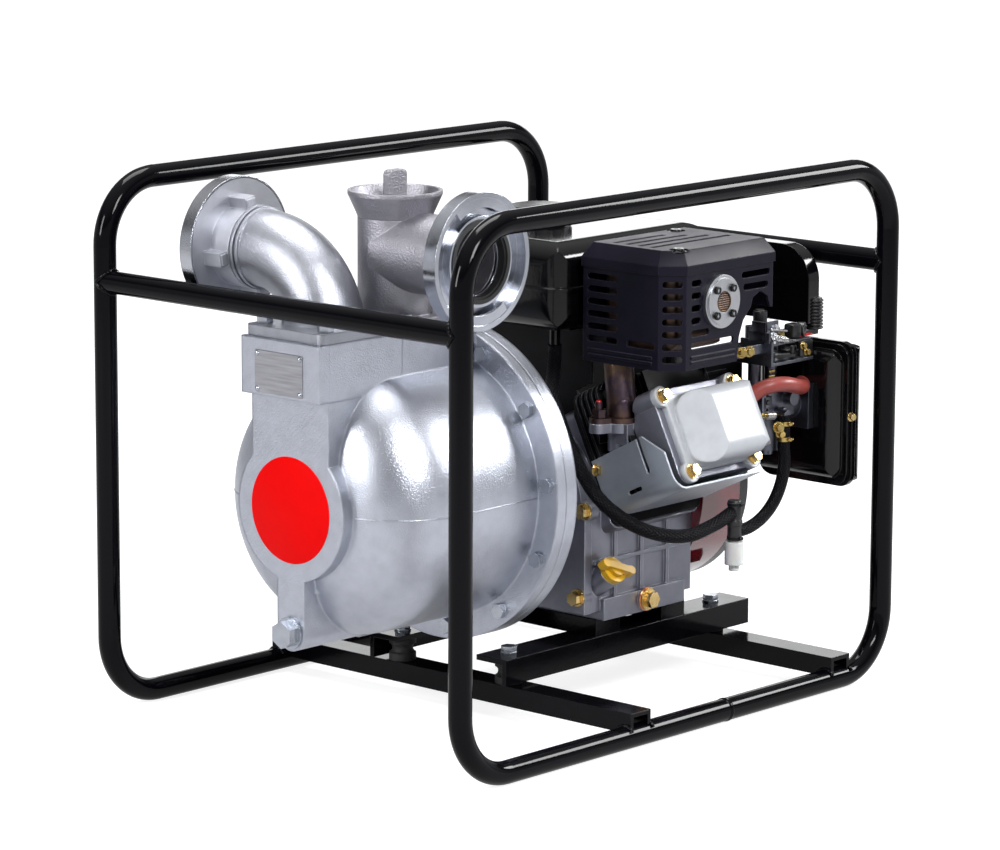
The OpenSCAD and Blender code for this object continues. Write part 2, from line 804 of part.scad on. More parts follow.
module cylinder_head() {
  color("#84878c") difference() {
    union() {
      on_cyl() translate([0, 0, head_s0]) linear_extrude(head_s1 - head_s0)
        rrect(-head_w, head_w, -head_h, head_h, 9);
      on_cyl() for (p = head_bolts) translate([p[0], p[1], head_s0 + 8])
        cylinder(h = head_s1 - head_s0 - 8, r = 10);
      intersection() {
        bar_z(244, exh_z, 12.4, exh[0], exh[1] - 2);
        on_cyl() translate([-100, -20, head_s0 - 40]) cube([200, 120, 80]);
      }
      translate([exh[0], exh[1] - 2, exh_z - 9]) exhaust_oval(9);
      box(exh[0] - 12, exh[0] + 16, exh[1] - 20, exh[1] + 2, exh_z - 20, exh_z);
      bar_x(cyl_x + head_w - 6, cyl_x + head_w + 11, 17, in_y, in_z);
    }
    box(exh[0] - 40, exh[0] + 33, exh[1] - 21, exh[1] + 60, exh_z, exh_z + 60);
    bar_x(cyl_x + 20, cyl_x + head_w + 12, 11, in_y, in_z);
  }
}

// two stud flange lying flat
module exhaust_oval(h) {
  rotate([0, 0, -20]) linear_extrude(h) {
    circle(18);
    for (x = [-24, 24]) translate([x, 0]) circle(9);
    translate([-24, -9]) square([48, 18]);
  }
}

module exhaust_pipe() {
  color("#5b4636") {
    translate([exh[0], exh[1] - 2, exh_z]) {
      exhaust_oval(5);
      translate([0, 0, 5]) cylinder(h = 12, r = 14);
      rotate([0, 0, -20]) for (x = [-24, 24]) {
        translate([x, 0, 5]) hex(12, 8);
        translate([x, 0, 5]) cylinder(h = 15, r = 3.5);
      }
    }
    rod([exh[0], exh[1] - 2, exh_z + 16], [exh[0] + 4, exh[1] + 6, muff_z0 - 9], 14);
    translate([exh[0] + 4, exh[1] + 6, muff_z0 - 10]) cylinder(h = 10, r = 15);
    translate([exh[0], exh[1] - 2, exh_z + 17]) sphere(14);
  }
}

module valve_cover() {
  color("#b3b9c2") on_cyl() {
    difference() {
      union() {
        translate([0, 0, head_s1]) linear_extrude(6) {
          rrect(-52, 50, -38, 37, 10);
          for (p = head_bolts) translate(p) circle(10);
        }
        intersection() {
          rbox(-44, 52, -36, 35, head_s1 - 30, head_s1 + 36, 15);
          translate([0, 60, 0]) rotate([90, 0, 0]) linear_extrude(120) {
            polygon([[-44, head_s1], [-44, head_s1 + 9], [-20, head_s1 + 36], [30, head_s1 + 36],
              [30, head_s1 + 14], [52, head_s1 + 14], [52, head_s1]]);
            translate([30, head_s1 + 14]) circle(22);
          }
        }
      }
      for (p = head_bolts) translate([p[0], p[1], head_s1 - 1]) cylinder(h = 8, r = 3);
      translate([-80, -80, head_s1 - 40]) cube([160, 160, 40]);
      // spot faces under the bolt heads
      for (p = head_bolts) translate([p[0], p[1], head_s1 + 6]) cylinder(h = 40, r = 8);
    }
  }
}

module cylinder_shroud() {
  color("#7f8489") on_cyl() intersection() {
    // sheet folded round the lower edge of the fins
    translate([0, 0, seat_s + 8]) linear_extrude(head_s1 - seat_s) intersection() {
      difference() {
        rrect(-fin_w - 4, fin_w + 40, -fin_low - 2, 80, 16);
        rrect(-fin_w - 2, fin_w + 60, -fin_low, 82, 14);
      }
      translate([-fin_w - 10, -fin_low - 10]) square([2 * fin_w - 6, fin_low + 20]);
    }
    // its outline seen from the side, with two slots
    translate([100, 0, 0]) rotate([0, -90, 0]) linear_extrude(200) difference() {
      polygon([[seat_s + 9, 6], [head_s0 + 16, 8], [head_s1 + 2, -14], [head_s1 + 2, -fin_low - 6],
        [seat_s + 24, -fin_low - 6], [seat_s + 9, -30]]);
      rrect(head_s0 + 8, head_s0 + 12, -26, 9, 1.9);
      rrect(head_s0 - 22, head_s0 - 4, -38, -34, 1.9);
    }
  }
}

module guard_plan(i) {
  polygon([[guard_x + i, guard_y1 - i], [guard_x + i, guard_y0 + guard_c + i * 0.41],
    [guard_x + guard_c + i * 0.41, guard_y0 + i], [guard_x + guard_l - i, guard_y0 + i],
    [guard_x + guard_l - i, guard_y1 - i]]);
}

module muffler() {
  color("#3b3836") {
    rbox(guard_x + 14, guard_x1 - 56, guard_y0 + 14, guard_y1 - 13, muff_z0, muff_z1, 12);
    for (x = [guard_x + 30, guard_x1 - 72], y = [guard_y0 + 36, guard_y1 - 36])
      bar_z(muff_z1 - 1, guard_z1 - guard_t, 6, x, y);
    bar_y(guard_y0 + guard_t, guard_y0 + 20, 14, out_x, out_z);
  }
}

module slot_y(x, z, w) {
  translate([x, guard_y0 - 5, z]) rotate([-90, 0, 0]) linear_extrude(12)
    rrect(-w / 2, w / 2, -3, 3, 2.9);
}

module slot_x(y, z, w) {
  translate([guard_x - 5, y, z]) rotate([90, 0, 90]) linear_extrude(12)
    rrect(-w / 2, w / 2, -3, 3, 2.9);
}

module guard_notch() {
  translate([0, guard_y1 + 5, 0]) rotate([90, 0, 0]) linear_extrude(guard_y1 - guard_y0 + 10)
    polygon([[guard_x1 - 55, guard_z0 - 9], [guard_x1 - 51, guard_z0 + 23], [guard_x1 - 45, guard_z0 + 38],
      [guard_x1 - 34, guard_z0 + 49], [guard_x1 - 31, guard_z0 + 58], [guard_x1 - 20, guard_z0 + 63],
      [guard_x1 - 9, guard_z0 + 57], [guard_x1 - 5, guard_z0 + 46], [guard_x1 + 7, guard_z0 + 46],
      [guard_x1 + 7, guard_z0 - 9]]);
}

// vented guard: body, overlapping cap with bevelled roof, slots on three faces
module muffler_guard() {
  chamfer_at = [guard_x + guard_c / 2, guard_y0 + guard_c / 2, 0];
  color("#2a2a33") difference() {
    union() {
      translate([0, 0, guard_z0]) linear_extrude(guard_seam - guard_z0 + 2) guard_plan(1.5);
      translate([0, 0, guard_seam]) linear_extrude(guard_z1 - guard_seam) guard_plan(0);
      for (i = [0, 1]) box(guard_x + guard_c + 8, guard_x1 - 57, guard_y0 + 0.5, guard_y0 + 3,
        guard_z0 + 5 + 5 * i, guard_z0 + 7.5 + 5 * i);
      for (i = [0, 1]) box(guard_x + 0.5, guard_x + 3, guard_y0 + guard_c + 8, guard_y1 - 8,
        guard_z0 + 5 + 5 * i, guard_z0 + 7.5 + 5 * i);
    }
    translate([0, 0, guard_z0 - 1]) linear_extrude(guard_ridge - guard_z0 + 2) guard_plan(1.5 + guard_t);
    translate([0, 0, guard_z0]) linear_extrude(guard_z1 - guard_z0 - guard_t) guard_plan(guard_t + bevel_w + 1);
    // bevels round the roof
    translate([guard_x, guard_y0, guard_ridge]) rotate([-bevel_a, 0, 0]) box(-5, 200, -20, 0, -20, 20);
    translate([guard_x, guard_y1, guard_ridge]) rotate([bevel_a, 0, 0]) box(-5, 200, 0, 20, -20, 20);
    translate([guard_x, guard_y0, guard_ridge]) rotate([0, bevel_a, 0]) box(-20, 0, -5, 200, -20, 20);
    translate([guard_x1, guard_y0, guard_ridge]) rotate([0, -bevel_a, 0]) box(0, 20, -5, 200, -20, 20);
    translate(chamfer_at + [0, 0, guard_ridge]) rotate([0, 0, -45]) rotate([-bevel_a, 0, 0])
      box(-40, 40, -20, 0, -20, 20);
    // grooves and screw dishes in the roof
    for (i = [0 : 3]) box(guard_x + 16, guard_x1 - 60 + 14 * i, guard_y1 - 30 - 15 * i, guard_y1 - 24 - 15 * i,
      guard_z1 - 1.2, guard_z1 + 1);
    bar_z(guard_z1 - 2, guard_z1 + 1, 9, guard_x1 - 30, guard_y1 - 16);
    bar_z(guard_z1 - 2, guard_z1 + 1, 9, guard_x + 24, guard_y0 + 15);
    // slots
    for (i = [0 : 5]) slot_x(guard_y1 - 25, slot_z - i * slot_p, 37);
    slot_x(guard_y1 - 72, slot_z - 5 * slot_p, 34);
    for (i = [0 : 3]) slot_y(guard_x + 34, slot_z - i * slot_p, 14);
    slot_y(guard_x + 40, slot_z - 4 * slot_p, 26);
    slot_y(guard_x + 58, slot_z - 5 * slot_p, 62);
    for (i = [0, 1]) slot_y(guard_x1 - 27, slot_z - i * slot_p, 42 - 5 * i);
    translate(chamfer_at) rotate([0, 0, -45]) for (i = [0 : 6])
      translate([0, -6, slot_z - i * slot_p]) rotate([-90, 0, 0]) linear_extrude(12)
        rrect(-9.5, 9.5, -3, 3, 2.9);
    guard_notch();
    bar_y(guard_y0 - 2, guard_y0 + 10, 14, out_x, out_z);
  }
}

module outlet_plate() {
  color("#b8bcc0") {
    difference() {
      union() {
        bar_y(guard_y0 - 2.5, guard_y0 + 1.5, 25, out_x, out_z);
        bar_y(guard_y0 - 4, guard_y0 - 2.4, 22, out_x, out_z);
      }
      bar_y(guard_y0 - 5, guard_y0 + 3, 10, out_x, out_z);
    }
    bar_y(guard_y0 - 1.5, guard_y0 + guard_t, 10, out_x, out_z);
    for (x = [-11.5, 11.5], z = [-12, 12]) bar_y(guard_y0 - 6.5, guard_y0 - 3, 3.6, out_x + x, out_z + z);
  }
}

module carburettor() {
  color("#7d7a72") difference() {
    union() {
      box(cyl_x + head_w + 11, cyl_x + head_w + 17, in_y - 24, in_y + 24, in_z - 20, in_z + 18);
      bar_x(cyl_x + head_w + 16, ac_x0 - 7, 17, in_y, in_z);
      box(188, 228, in_y - 20, in_y + 18, in_z - 8, in_z + 18);
      bar_z(in_z - 40, in_z - 8, 19, 208, in_y - 2);
      bar_z(in_z - 46, in_z - 39, 7, 208, in_y - 2);
      box(ac_x0 - 8, ac_x0, in_y - 26, in_y + 26, in_z - 24, in_z + 20);
      bar_y(in_y - 34, in_y - 10, 4.5, 200, in_z - 4);
      bar_y(in_y - 30, in_y - 10, 7, 216, in_z + 10);
      bar_z(in_z + 16, ctrl_z, 6, 196, in_y + 4);
      bar_z(in_z + 16, ctrl_z, 6, 221, in_y + 4);
    }
    bar_x(cyl_x + head_w + 10, ac_x0 + 1, 11, in_y, in_z);
  }
}

module control_bracket() {
  color("#6c6f74") {
    difference() {
      union() {
        box(182, 246, in_y - 28, in_y + 22, ctrl_z, ctrl_z + 3);
        box(182, 185, in_y - 28, in_y + 10, ctrl_z, ctrl_z + 24);
        box(186, 206, in_y + 2, in_y + 20, ctrl_z + 2.9, ctrl_z + 12);
        bar_z(ctrl_z + 11.9, ctrl_z + 34, 6, 196, in_y + 8);
      }
      bar_z(ctrl_z - 1, ctrl_z + 4, 2, 240, in_y - 24);
    }
    bar_z(ctrl_z + 2.9, ctrl_z + 15, 3, thr_x, thr_y - 16);
    bar_z(ctrl_z + 2.9, ctrl_z + 12, 3, cho_x, cho_y - 12);
  }
}

module throttle_lever() {
  color("#8b8e92") difference() {
    union() {
      translate([thr_x, thr_y - 16, ctrl_z + 3 + gap]) cylinder(h = 7, r = 7);
      translate([thr_x, thr_y - 16, ctrl_z + 5]) rotate([0, 0, -25]) {
        translate([0, -4, 0]) cube([lever_l, 8, 3]);
        translate([lever_l, 0, 0]) cylinder(h = 3, r = 4);
        translate([lever_l, 0, 0]) cylinder(h = 10, r = 2);
      }
    }
    bar_z(ctrl_z, ctrl_z + 20, 3 + gap, thr_x, thr_y - 16);
  }
}

module choke_lever() {
  color("#a3261c") difference() {
    union() {
      translate([cho_x, cho_y - 12, ctrl_z + 3 + gap]) cylinder(h = 5, r = 5.5);
      translate([cho_x, cho_y - 12, ctrl_z + 4]) rotate([0, 0, 75]) {
        translate([0, -3, 0]) cube([20, 6, 2.5]);
        translate([20, 0, 0]) cylinder(h = 9, r = 4);
      }
    }
    bar_z(ctrl_z, ctrl_z + 20, 3 + gap, cho_x, cho_y - 12);
  }
}

module air_cleaner_case() {
  color("#0d0d0f") difference() {
    union() {
      rbox(ac_x0, ac_x1 + 14, ac_y0 + 8, ac_y1 - 4, ac_z0 + 6, ac_z1 - 6, 14);
      push_x(ac_x1 - 5, ac_x1) rrect(ac_y0 + 2, ac_y1, ac_z0, ac_z1, 14);
    }
    box(ac_x1, ac_x1 + 20, ac_y0 - 10, ac_y1 + 10, ac_z0 - 10, ac_z1 + 10);
    translate([6, 0, 0]) rbox(ac_x0 - 2, ac_x1 + 14, ac_y0 + 12, ac_y1 - 8, ac_z0 + 10, ac_z1 - 10, 10);
    bar_x(ac_x0 - 1, ac_x1, 11, in_y, in_z);
  }
}

module air_cleaner_cover() {
  color("#1a1a20") difference() {
    union() {
      push_x(ac_x1, ac_x1 + 6) rrect(ac_y0, ac_y1 + 2, ac_z0 - 2, ac_z1 + 2, 14);
      rbox(ac_x1 - 20, ac_x2, ac_y0 + 3, ac_y1 - 1, ac_z0 + 1, ac_z1 - 1, 10);
    }
    box(ac_x1 - 40, ac_x1, ac_y0 - 10, ac_y1 + 10, ac_z0 - 10, ac_z1 + 10);
    rbox(ac_x1 - 20, ac_x2 - 3, ac_y0 + 7, ac_y1 - 5, ac_z0 + 5, ac_z1 - 5, 8);
  }
}

module breather_tube() {
  b0 = cyl_pt(52.1, 17, head_s1 + 12.5);
  b1 = b0 + [7, 0, 0];
  b2 = [200, -184, 299];
  b3 = [ac_x0 - 12, -174, 299];
  color("#9c3a34") {
    rod(b0, b1, 6);
    translate(b1) sphere(6 + gap);
    arc3(b1, [175, -181, 297], b2, 6);
    translate(b2) sphere(6 + gap);
    arc3(b2, [221, -182, 300], b3, 6);
    translate(b3) sphere(6 + gap);
    rod(b3, b3 + [12, 0, 0], 6);
  }
}

module fuel_tank() {
  color("#0e0e10") difference() {
    union() {
      rbox(tank_x, tank_x + tank_l, tank_y0, tank_y1, tank_z0, tank_z1, 22);
      slab(tank_x - 3, tank_x + tank_l + 3, tank_y0 - 3, tank_y1 + 3, tank_z0 + 40, tank_z0 + 43, 22);
      bar_z(tank_z1 - 2, tank_z1 + 4, 24, cap_x, cap_y);
      bar_z(tank_z0 - 16, tank_z0 + 2, 5, 40, -30);
    }
    rbox(tank_x + 3, tank_x + tank_l - 3, tank_y0 + 3, tank_y1 - 3, tank_z0 + 3, tank_z1 - 3, 19);
    bar_z(tank_z1 - 6, tank_z1 + 5, 20, cap_x, cap_y);
    bar_z(tank_z0 - 17, tank_z0 + 4, 3, 40, -30);
  }
}

module fuel_cap() {
  color("#1c1c1e") translate([cap_x, cap_y, tank_z1 + 4]) {
    translate([0, 0, gap]) cylinder(h = 12, r = 29);
    translate([0, 0, -8]) cylinder(h = 9, r = 20 - gap);
    for (i = [0 : 11]) rotate([0, 0, i * 30]) translate([29, 0, gap]) cylinder(h = 11, r = 2.2);
  }
}

// sheet stay that carries the tank on the crankcase
module tank_stay() {
  color("#121214") {
    box(50, 186, -40, 100, tank_z0 - 3, tank_z0);
    for (x = [58, 164]) difference() {
      push_x(x, x + 3) polygon([[-60, 300], [-42, 291], [-46, 281], [-36, 240], [60, 240], [80, 300],
        [100, tank_z0 - 20], [100, tank_z0 - 2], [-60, tank_z0 - 2]]);
      push_x(x - 1, x + 4) case_profile(0);
      on_cyl() translate([0, 0, 20]) linear_extrude(seat_s - 20) rrect(-64, 64, -60, 60, 10);
    }
  }
}

module fuel_hose() {
  color("#151517") difference() {
    union() {
      bar_z(tank_out[2] - 2, tank_z0 - 16, 6.5, tank_out[0], tank_out[1]);
      translate(tank_out) sphere(7);
      rod(tank_out, hose_t, 6.5);
      translate(hose_t) sphere(7);
      arc3(hose_t, [-10, -88, 262], hose_a[0], 6.5);
      translate(hose_a[0]) sphere(7);
      arc3(hose_a[0], hose_a[1], hose_a[2], 6.5);
      translate(hose_a[2]) sphere(7);
      rod(hose_a[2], hose_a[3], 6.5);
    }
    bar_z(140, 200, 5 + run, cock_x, cock_y);
  }
}

module carb_hose() {
  color("#151517") difference() {
    union() {
      arc3(hose_b[0], hose_b[1], hose_b[2], 6);
      translate(hose_b[0]) sphere(6 + gap);
      bar_z(hose_b[0][2], in_z - 4, 6, hose_b[0][0], hose_b[0][1]);
    }
    bar_z(140, 200, 5 + run, cock_x, cock_y);
    bar_z(100, 154, 10, cock_x, cock_y);
    bar_y(in_y - 60, in_y, 4.5, 200, in_z - 4);
    bar_z(in_z - 60, in_z - 8, 19, 208, in_y - 2);
  }
}

module fuel_filter() {
  color("#e9e9e6") {
    bar_z(132, 154, 9, cock_x, cock_y);
    bar_z(126, 133, 5, cock_x, cock_y);
    bar_z(153, 192, 5, cock_x, cock_y);
  }
}

module blower_housing() {
  color("#7a1218") difference() {
    bar_x(drum_x0, drum_x1, drum_r, 0, shaft_z);
    bar_x(drum_x0 + 4, drum_x1 + 1, drum_r - drum_t, 0, shaft_z);
    bar_x(drum_x0 - 1, drum_x1 + 1, 30, 0, shaft_z);
  }
}

module upper_shroud() {
  color("#0f0f12") {
    push_x(top_x0, top_x1) {
      rrect(top_y0, top_y1, top_z0, top_z1, 34);
      translate([top_y0, top_z0]) square([top_y1 - top_y0, 38]);
    }
    // neck that leads the air up from the drum
    difference() {
      union() {
        box(drum_x0 + 18, drum_x1 - 2, -40, 40, shaft_z + 60, top_z0 + 8);
        box(drum_x0 + 18, top_x0 + 1, -40, 40, top_z0 - 22, top_z0 + 8);
      }
      bar_x(drum_x0, top_x0 + 2, drum_r, 0, shaft_z);
      box(drum_x0 + 21, drum_x1 - 5, -37, 37, shaft_z, top_z0 + 4);
      box(drum_x0 + 21, top_x0 - 3, -37, 37, top_z0 - 19, top_z0 + 4);
    }
    box(top_x1 - 6, top_x1, top_y0, top_y0 + 6, ac_z1 + 4, top_z0 + 30);
    box(240, top_x1, top_y0, top_y0 + 20, ac_z1 + 4, ac_z1 + 10);
  }
}

module recoil_cover() {
  color("#111113") difference() {
    union() {
      bar_x(drum_x1, drum_x1 + 12, drum_r, 0, shaft_z);
      bar_x(drum_x1 + 11, rec_x, rec_r, 0, shaft_z);
      box(grip_x - 12, grip_x + 12, 60, 92, grip_z - 14, grip_z + 14);
    }
    bar_x(drum_x1 - 1, rec_x - 4, rec_r - 4, 0, shaft_z);
    for (i = [0 : 11]) translate([0, 0, shaft_z]) rotate([i * 30, 0, 0])
      box(rec_x - 10, rec_x + 1, -5, 5, 30, 60);
    bar_y(50, 100, 4, grip_x, grip_z);
  }
}

module recoil_grip() {
  color("#1c1c1e") {
    rbox(grip_x - 9, grip_x + 9, 92 + gap, 112, grip_z - 22, grip_z + 22, 8);
    bar_y(70, 100, 2.5, grip_x, grip_z);
  }
}

side_loop_near();
side_loop_far();
cross_tube_front();
cross_tube_rear();
base_rail_front();
base_rail_rear();
bed_rail_near();
bed_rail_far();
rubber_mounts();
engine_straps();
frame_bolts();
pump_casing();
pump_backplate();
volute();
impeller();
impeller_nut();
shaft_seal();
suction_elbow();
suction_coupling();
suction_seal();
check_flap();
discharge_tee();
priming_funnel();
discharge_coupling();
discharge_seal();
priming_plug();
drain_plug();
pump_bolts();
crankcase();
crankcase_cover();
crankshaft();
flywheel();
engine_cylinder();  // cylinder
cylinder_head();
valve_cover();
cylinder_shroud();
muffler();
muffler_guard();
outlet_plate();
exhaust_pipe();
carburettor();
control_bracket();
throttle_lever();
choke_lever();
air_cleaner_case();
air_cleaner_cover();
breather_tube();
fuel_tank();
tank_stay();
fuel_cap();
fuel_hose();
carb_hose();
fuel_filter();
dipstick();
oil_drain_bolt();
blower_housing();
upper_shroud();
recoil_cover();
recoil_grip();
engine_bolts();
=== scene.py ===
import math

import bmesh
import bpy
from mathutils import Matrix, Vector


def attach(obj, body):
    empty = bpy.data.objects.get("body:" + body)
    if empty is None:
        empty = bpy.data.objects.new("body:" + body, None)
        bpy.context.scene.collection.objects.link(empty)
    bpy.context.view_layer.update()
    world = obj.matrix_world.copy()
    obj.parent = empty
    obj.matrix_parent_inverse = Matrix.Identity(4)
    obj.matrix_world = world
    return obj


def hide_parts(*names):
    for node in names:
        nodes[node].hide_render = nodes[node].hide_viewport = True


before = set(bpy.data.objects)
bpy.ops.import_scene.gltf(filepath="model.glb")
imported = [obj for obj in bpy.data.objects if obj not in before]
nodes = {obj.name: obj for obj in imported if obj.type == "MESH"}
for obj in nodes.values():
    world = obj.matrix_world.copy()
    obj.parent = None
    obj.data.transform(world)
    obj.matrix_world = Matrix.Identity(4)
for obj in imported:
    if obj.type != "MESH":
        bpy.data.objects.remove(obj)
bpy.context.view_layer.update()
scene = bpy.context.scene
scene.view_settings.view_transform = "Standard"
SET = "pump_set"

# places that several pieces share, in millimetres in the row frame
TUBE_R = 10.65
LOOP_Y = 222.9
LEG_X = 300.2
CROSS_Z = 407.5
SHAFT_Z = 184
PAD_Z = 221
OUTLET_X, OUTLET_Z = 98, 387.5
FILTER_X, FILTER_Y = 130, -178
SPIGOT_X, SPIGOT_Y = 200, -180
CLEANER_Y = -154


# camera at the photograph's angle
def make_camera():
    az, el, roll = math.radians(-47.92), math.radians(10.67), math.radians(0.248)
    fwd = Vector((-math.sin(az) * math.cos(el), math.cos(az) * math.cos(el), -math.sin(el)))
    right = Vector((math.cos(az), math.sin(az), 0))
    up = right.cross(fwd)
    r2 = right * math.cos(roll) + up * math.sin(roll)
    u2 = up * math.cos(roll) - right * math.sin(roll)
    data = bpy.data.cameras.new("camera")
    data.sensor_width = 36
    data.lens = 158.76
    data.clip_start, data.clip_end = 0.1, 60
    cam = bpy.data.objects.new("camera", data)
    scene.collection.objects.link(cam)
    m = Matrix((r2, u2, -fwd)).transposed().to_4x4()
    m.translation = Vector((-3.0381, -2.7402, 1.0311))
    cam.matrix_world = m
    scene.camera = cam


make_camera()


# materials
class Mat:
    """A principled material on object coordinates, with its colour, roughness and relief from nodes."""

    def __init__(self, name, color, metallic=0.0, rough=0.5, **sockets):
        self.m = bpy.data.materials.new(name)
        self.m.use_nodes = True
        self.nt = self.m.node_tree
        self.b = self.nt.nodes["Principled BSDF"]
        self.b.inputs["Base Color"].default_value = (*color, 1)
        self.b.inputs["Metallic"].default_value = metallic
        self.b.inputs["Roughness"].default_value = rough
        for k, v in sockets.items():
            self.b.inputs[k.replace("_", " ")].default_value = v
        self.m.diffuse_color = (*color, 1)
        self.co = self.new("ShaderNodeTexCoord").outputs["Object"]
        self.normal = None

    def new(self, kind):
        return self.nt.nodes.new(kind)

    def link(self, a, b):
        self.nt.links.new(a, b)

    def place(self, scale=(1, 1, 1), loc=(0, 0, 0), rot=(0, 0, 0), kind="POINT"):
        n = self.new("ShaderNodeMapping")
        n.vector_type = kind
        n.inputs["Scale"].default_value = scale
        n.inputs["Location"].default_value = loc
        n.inputs["Rotation"].default_value = rot
        self.link(self.co, n.inputs["Vector"])
        return n.outputs["Vector"]

    def noise(self, scale, detail=3.0, rough=0.5, at=None):
        n = self.new("ShaderNodeTexNoise")
        n.inputs["Scale"].default_value = scale
        n.inputs["Detail"].default_value = detail
        n.inputs["Roughness"].default_value = rough
        self.link(at or self.co, n.inputs["Vector"])
        return n.outputs["Fac"]

    def cells(self, scale):
        n = self.new("ShaderNodeTexVoronoi")
        n.inputs["Scale"].default_value = scale
        self.link(self.co, n.inputs["Vector"])
        return n.outputs["Distance"]

    def rings(self, scale, at, distort):
        """Rings round a line along Y."""
        n = self.new("ShaderNodeTexWave")
        n.wave_type = "RINGS"
        n.rings_direction = "Y"
        n.inputs["Scale"].default_value = scale
        n.inputs["Distortion"].default_value = distort
        self.link(at, n.inputs["Vector"])
        return n.outputs["Fac"]

    def math(self, op, *values):
        n = self.new("ShaderNodeMath")
        n.operation = op
        for socket, v in zip(n.inputs, values):
            if isinstance(v, (int, float)):
                socket.default_value = v
            else:
                self.link(v, socket)
        return n.outputs[0]

    def span(self, fac, lo, hi, a=0.0, b=1.0):
        n = self.new("ShaderNodeMapRange")
        for k, v in zip(("From Min", "From Max", "To Min", "To Max"), (a, b, lo, hi)):
            n.inputs[k].default_value = v
        self.link(fac, n.inputs["Value"])
        return n.outputs["Result"]

    def ramp(self, fac, *stops):
        n = self.new("ShaderNodeValToRGB")
        e = n.color_ramp.elements
        while len(e) < len(stops):
            e.new(0.5)
        for x, (pos, col) in zip(e, stops):
            x.position = pos
            x.color = (*col, 1)
        self.link(fac, n.inputs["Fac"])
        return n.outputs["Color"]

    def colour(self, fac, *stops):
        self.link(self.ramp(fac, *stops), self.b.inputs["Base Color"])

    def roughness(self, fac, lo, hi):
        self.link(self.span(fac, lo, hi, 0.25, 0.75), self.b.inputs["Roughness"])

    def bevel(self, radius):
        n = self.new("ShaderNodeBevel")
        n.samples = 4
        n.inputs["Radius"].default_value = radius
        return n.outputs["Normal"]

    def soft_edges(self, radius):
        self.normal = self.bevel(radius)
        self.link(self.normal, self.b.inputs["Normal"])

    def bump(self, height, distance, strength=1.0):
        n = self.new("ShaderNodeBump")
        n.inputs["Strength"].default_value = strength
        n.inputs["Distance"].default_value = distance
        self.link(height, n.inputs["Height"])
        if self.normal is not None:
            self.link(self.normal, n.inputs["Normal"])
        self.normal = n.outputs["Normal"]
        self.link(self.normal, self.b.inputs["Normal"])

    def edge_wear_and_highlight(self, c, radius):
        """Lighten the colour towards c along the sharp edges: partly wear, partly a painted highlight where the
        edges catch the light.
        """
        d = self.new("ShaderNodeVectorMath")
        d.operation = "DOT_PRODUCT"
        self.link(self.bevel(radius), d.inputs[0])
        self.link(self.new("ShaderNodeNewGeometry").outputs["Normal"], d.inputs[1])
        edge = self.span(d.outputs["Value"], 1.0, 0.0, 0.86, 0.985)
        mask = self.math("MULTIPLY", edge, self.span(self.noise(55, 3), 0.3, 1.0, 0.35, 0.6))
        x = self.new("ShaderNodeMix")
        x.data_type = "RGBA"
        base = self.b.inputs["Base Color"]
        self.link(mask, x.inputs[0])
        self.link(base.links[0].from_socket, x.inputs[6])
        x.inputs[7].default_value = (*c, 1)
        self.link(x.outputs[2], base)

    def length(self, vector):
        n = self.new("ShaderNodeVectorMath")
        n.operation = "LENGTH"
        self.link(vector, n.inputs[0])
        return n.outputs["Value"]

    def axis(self, name):
        n = self.new("ShaderNodeSeparateXYZ")
        self.link(self.co, n.inputs["Vector"])
        return n.outputs[name]


def shades(c, *k):
    return [tuple(min(1.0, v * f) for v in c) for f in k]


def painted(name, c, rough, spread, peel, peel_scale, edge=0.0, tone=0.1, **sockets):
    """Paint, plastic or rubber with an orange peel."""
    m = Mat(name, c, 0.0, rough, **sockets)
    lo, hi = shades(c, 1 - tone, 1 + tone)
    m.colour(m.noise(60, 5), (0.35, lo), (0.7, hi))
    m.roughness(m.noise(25, 4, 0.6), rough - spread, rough + spread)
    if edge:
        m.soft_edges(edge)
    m.bump(m.noise(peel_scale, 2), peel)
    return m


def cast(name, c, rough, grain, depth, edge, metallic=1.0, spread=0.05, pits=0.0):
    """Cast, blasted or sprayed metal with a fine grain."""
    m = Mat(name, c, metallic, rough)
    lo, mid, hi = shades(c, 0.93, 1.0, 1.05)
    m.colour(m.noise(75, 3), (0.3, lo), (0.5, mid), (0.7, hi))
    m.roughness(m.noise(60, 3), rough - spread, rough + spread)
    m.soft_edges(edge)
    m.bump(m.noise(90, 2), 0.0004, 0.08)
    m.bump(m.noise(grain, 2, 0.5), depth)
    if pits:
        m.bump(m.span(m.cells(grain * 0.35), 0.0, 1.0, 0.0, 0.35), depth * 0.6, pits)
    return m


def turned(name, c, rough, loc):
    """Metal with lathe marks round a line along Y."""
    m = Mat(name, c, 1.0, rough)
    lo, hi = shades(c, 0.86, 1.08)
    m.colour(m.noise(30, 4), (0.35, lo), (0.7, hi))
    m.roughness(m.noise(120, 3), rough - 0.06, rough + 0.06)
    m.soft_edges(0.0008)
    m.bump(m.rings(330, m.place(loc=loc), 0.4), 0.00003)
    return m


def plated(name, stops, rough):
    """Plated or bare fastener metal."""
    m = Mat(name, stops[0], 1.0, rough)
    m.colour(m.noise(80, 3), (0.3, stops[0]), (0.5, stops[1]), (0.7, stops[2]))
    m.roughness(m.noise(70, 3), rough - 0.05, rough + 0.07)
    m.soft_edges(0.0004)
    m.bump(m.noise(900, 2), 0.00004)
    return m


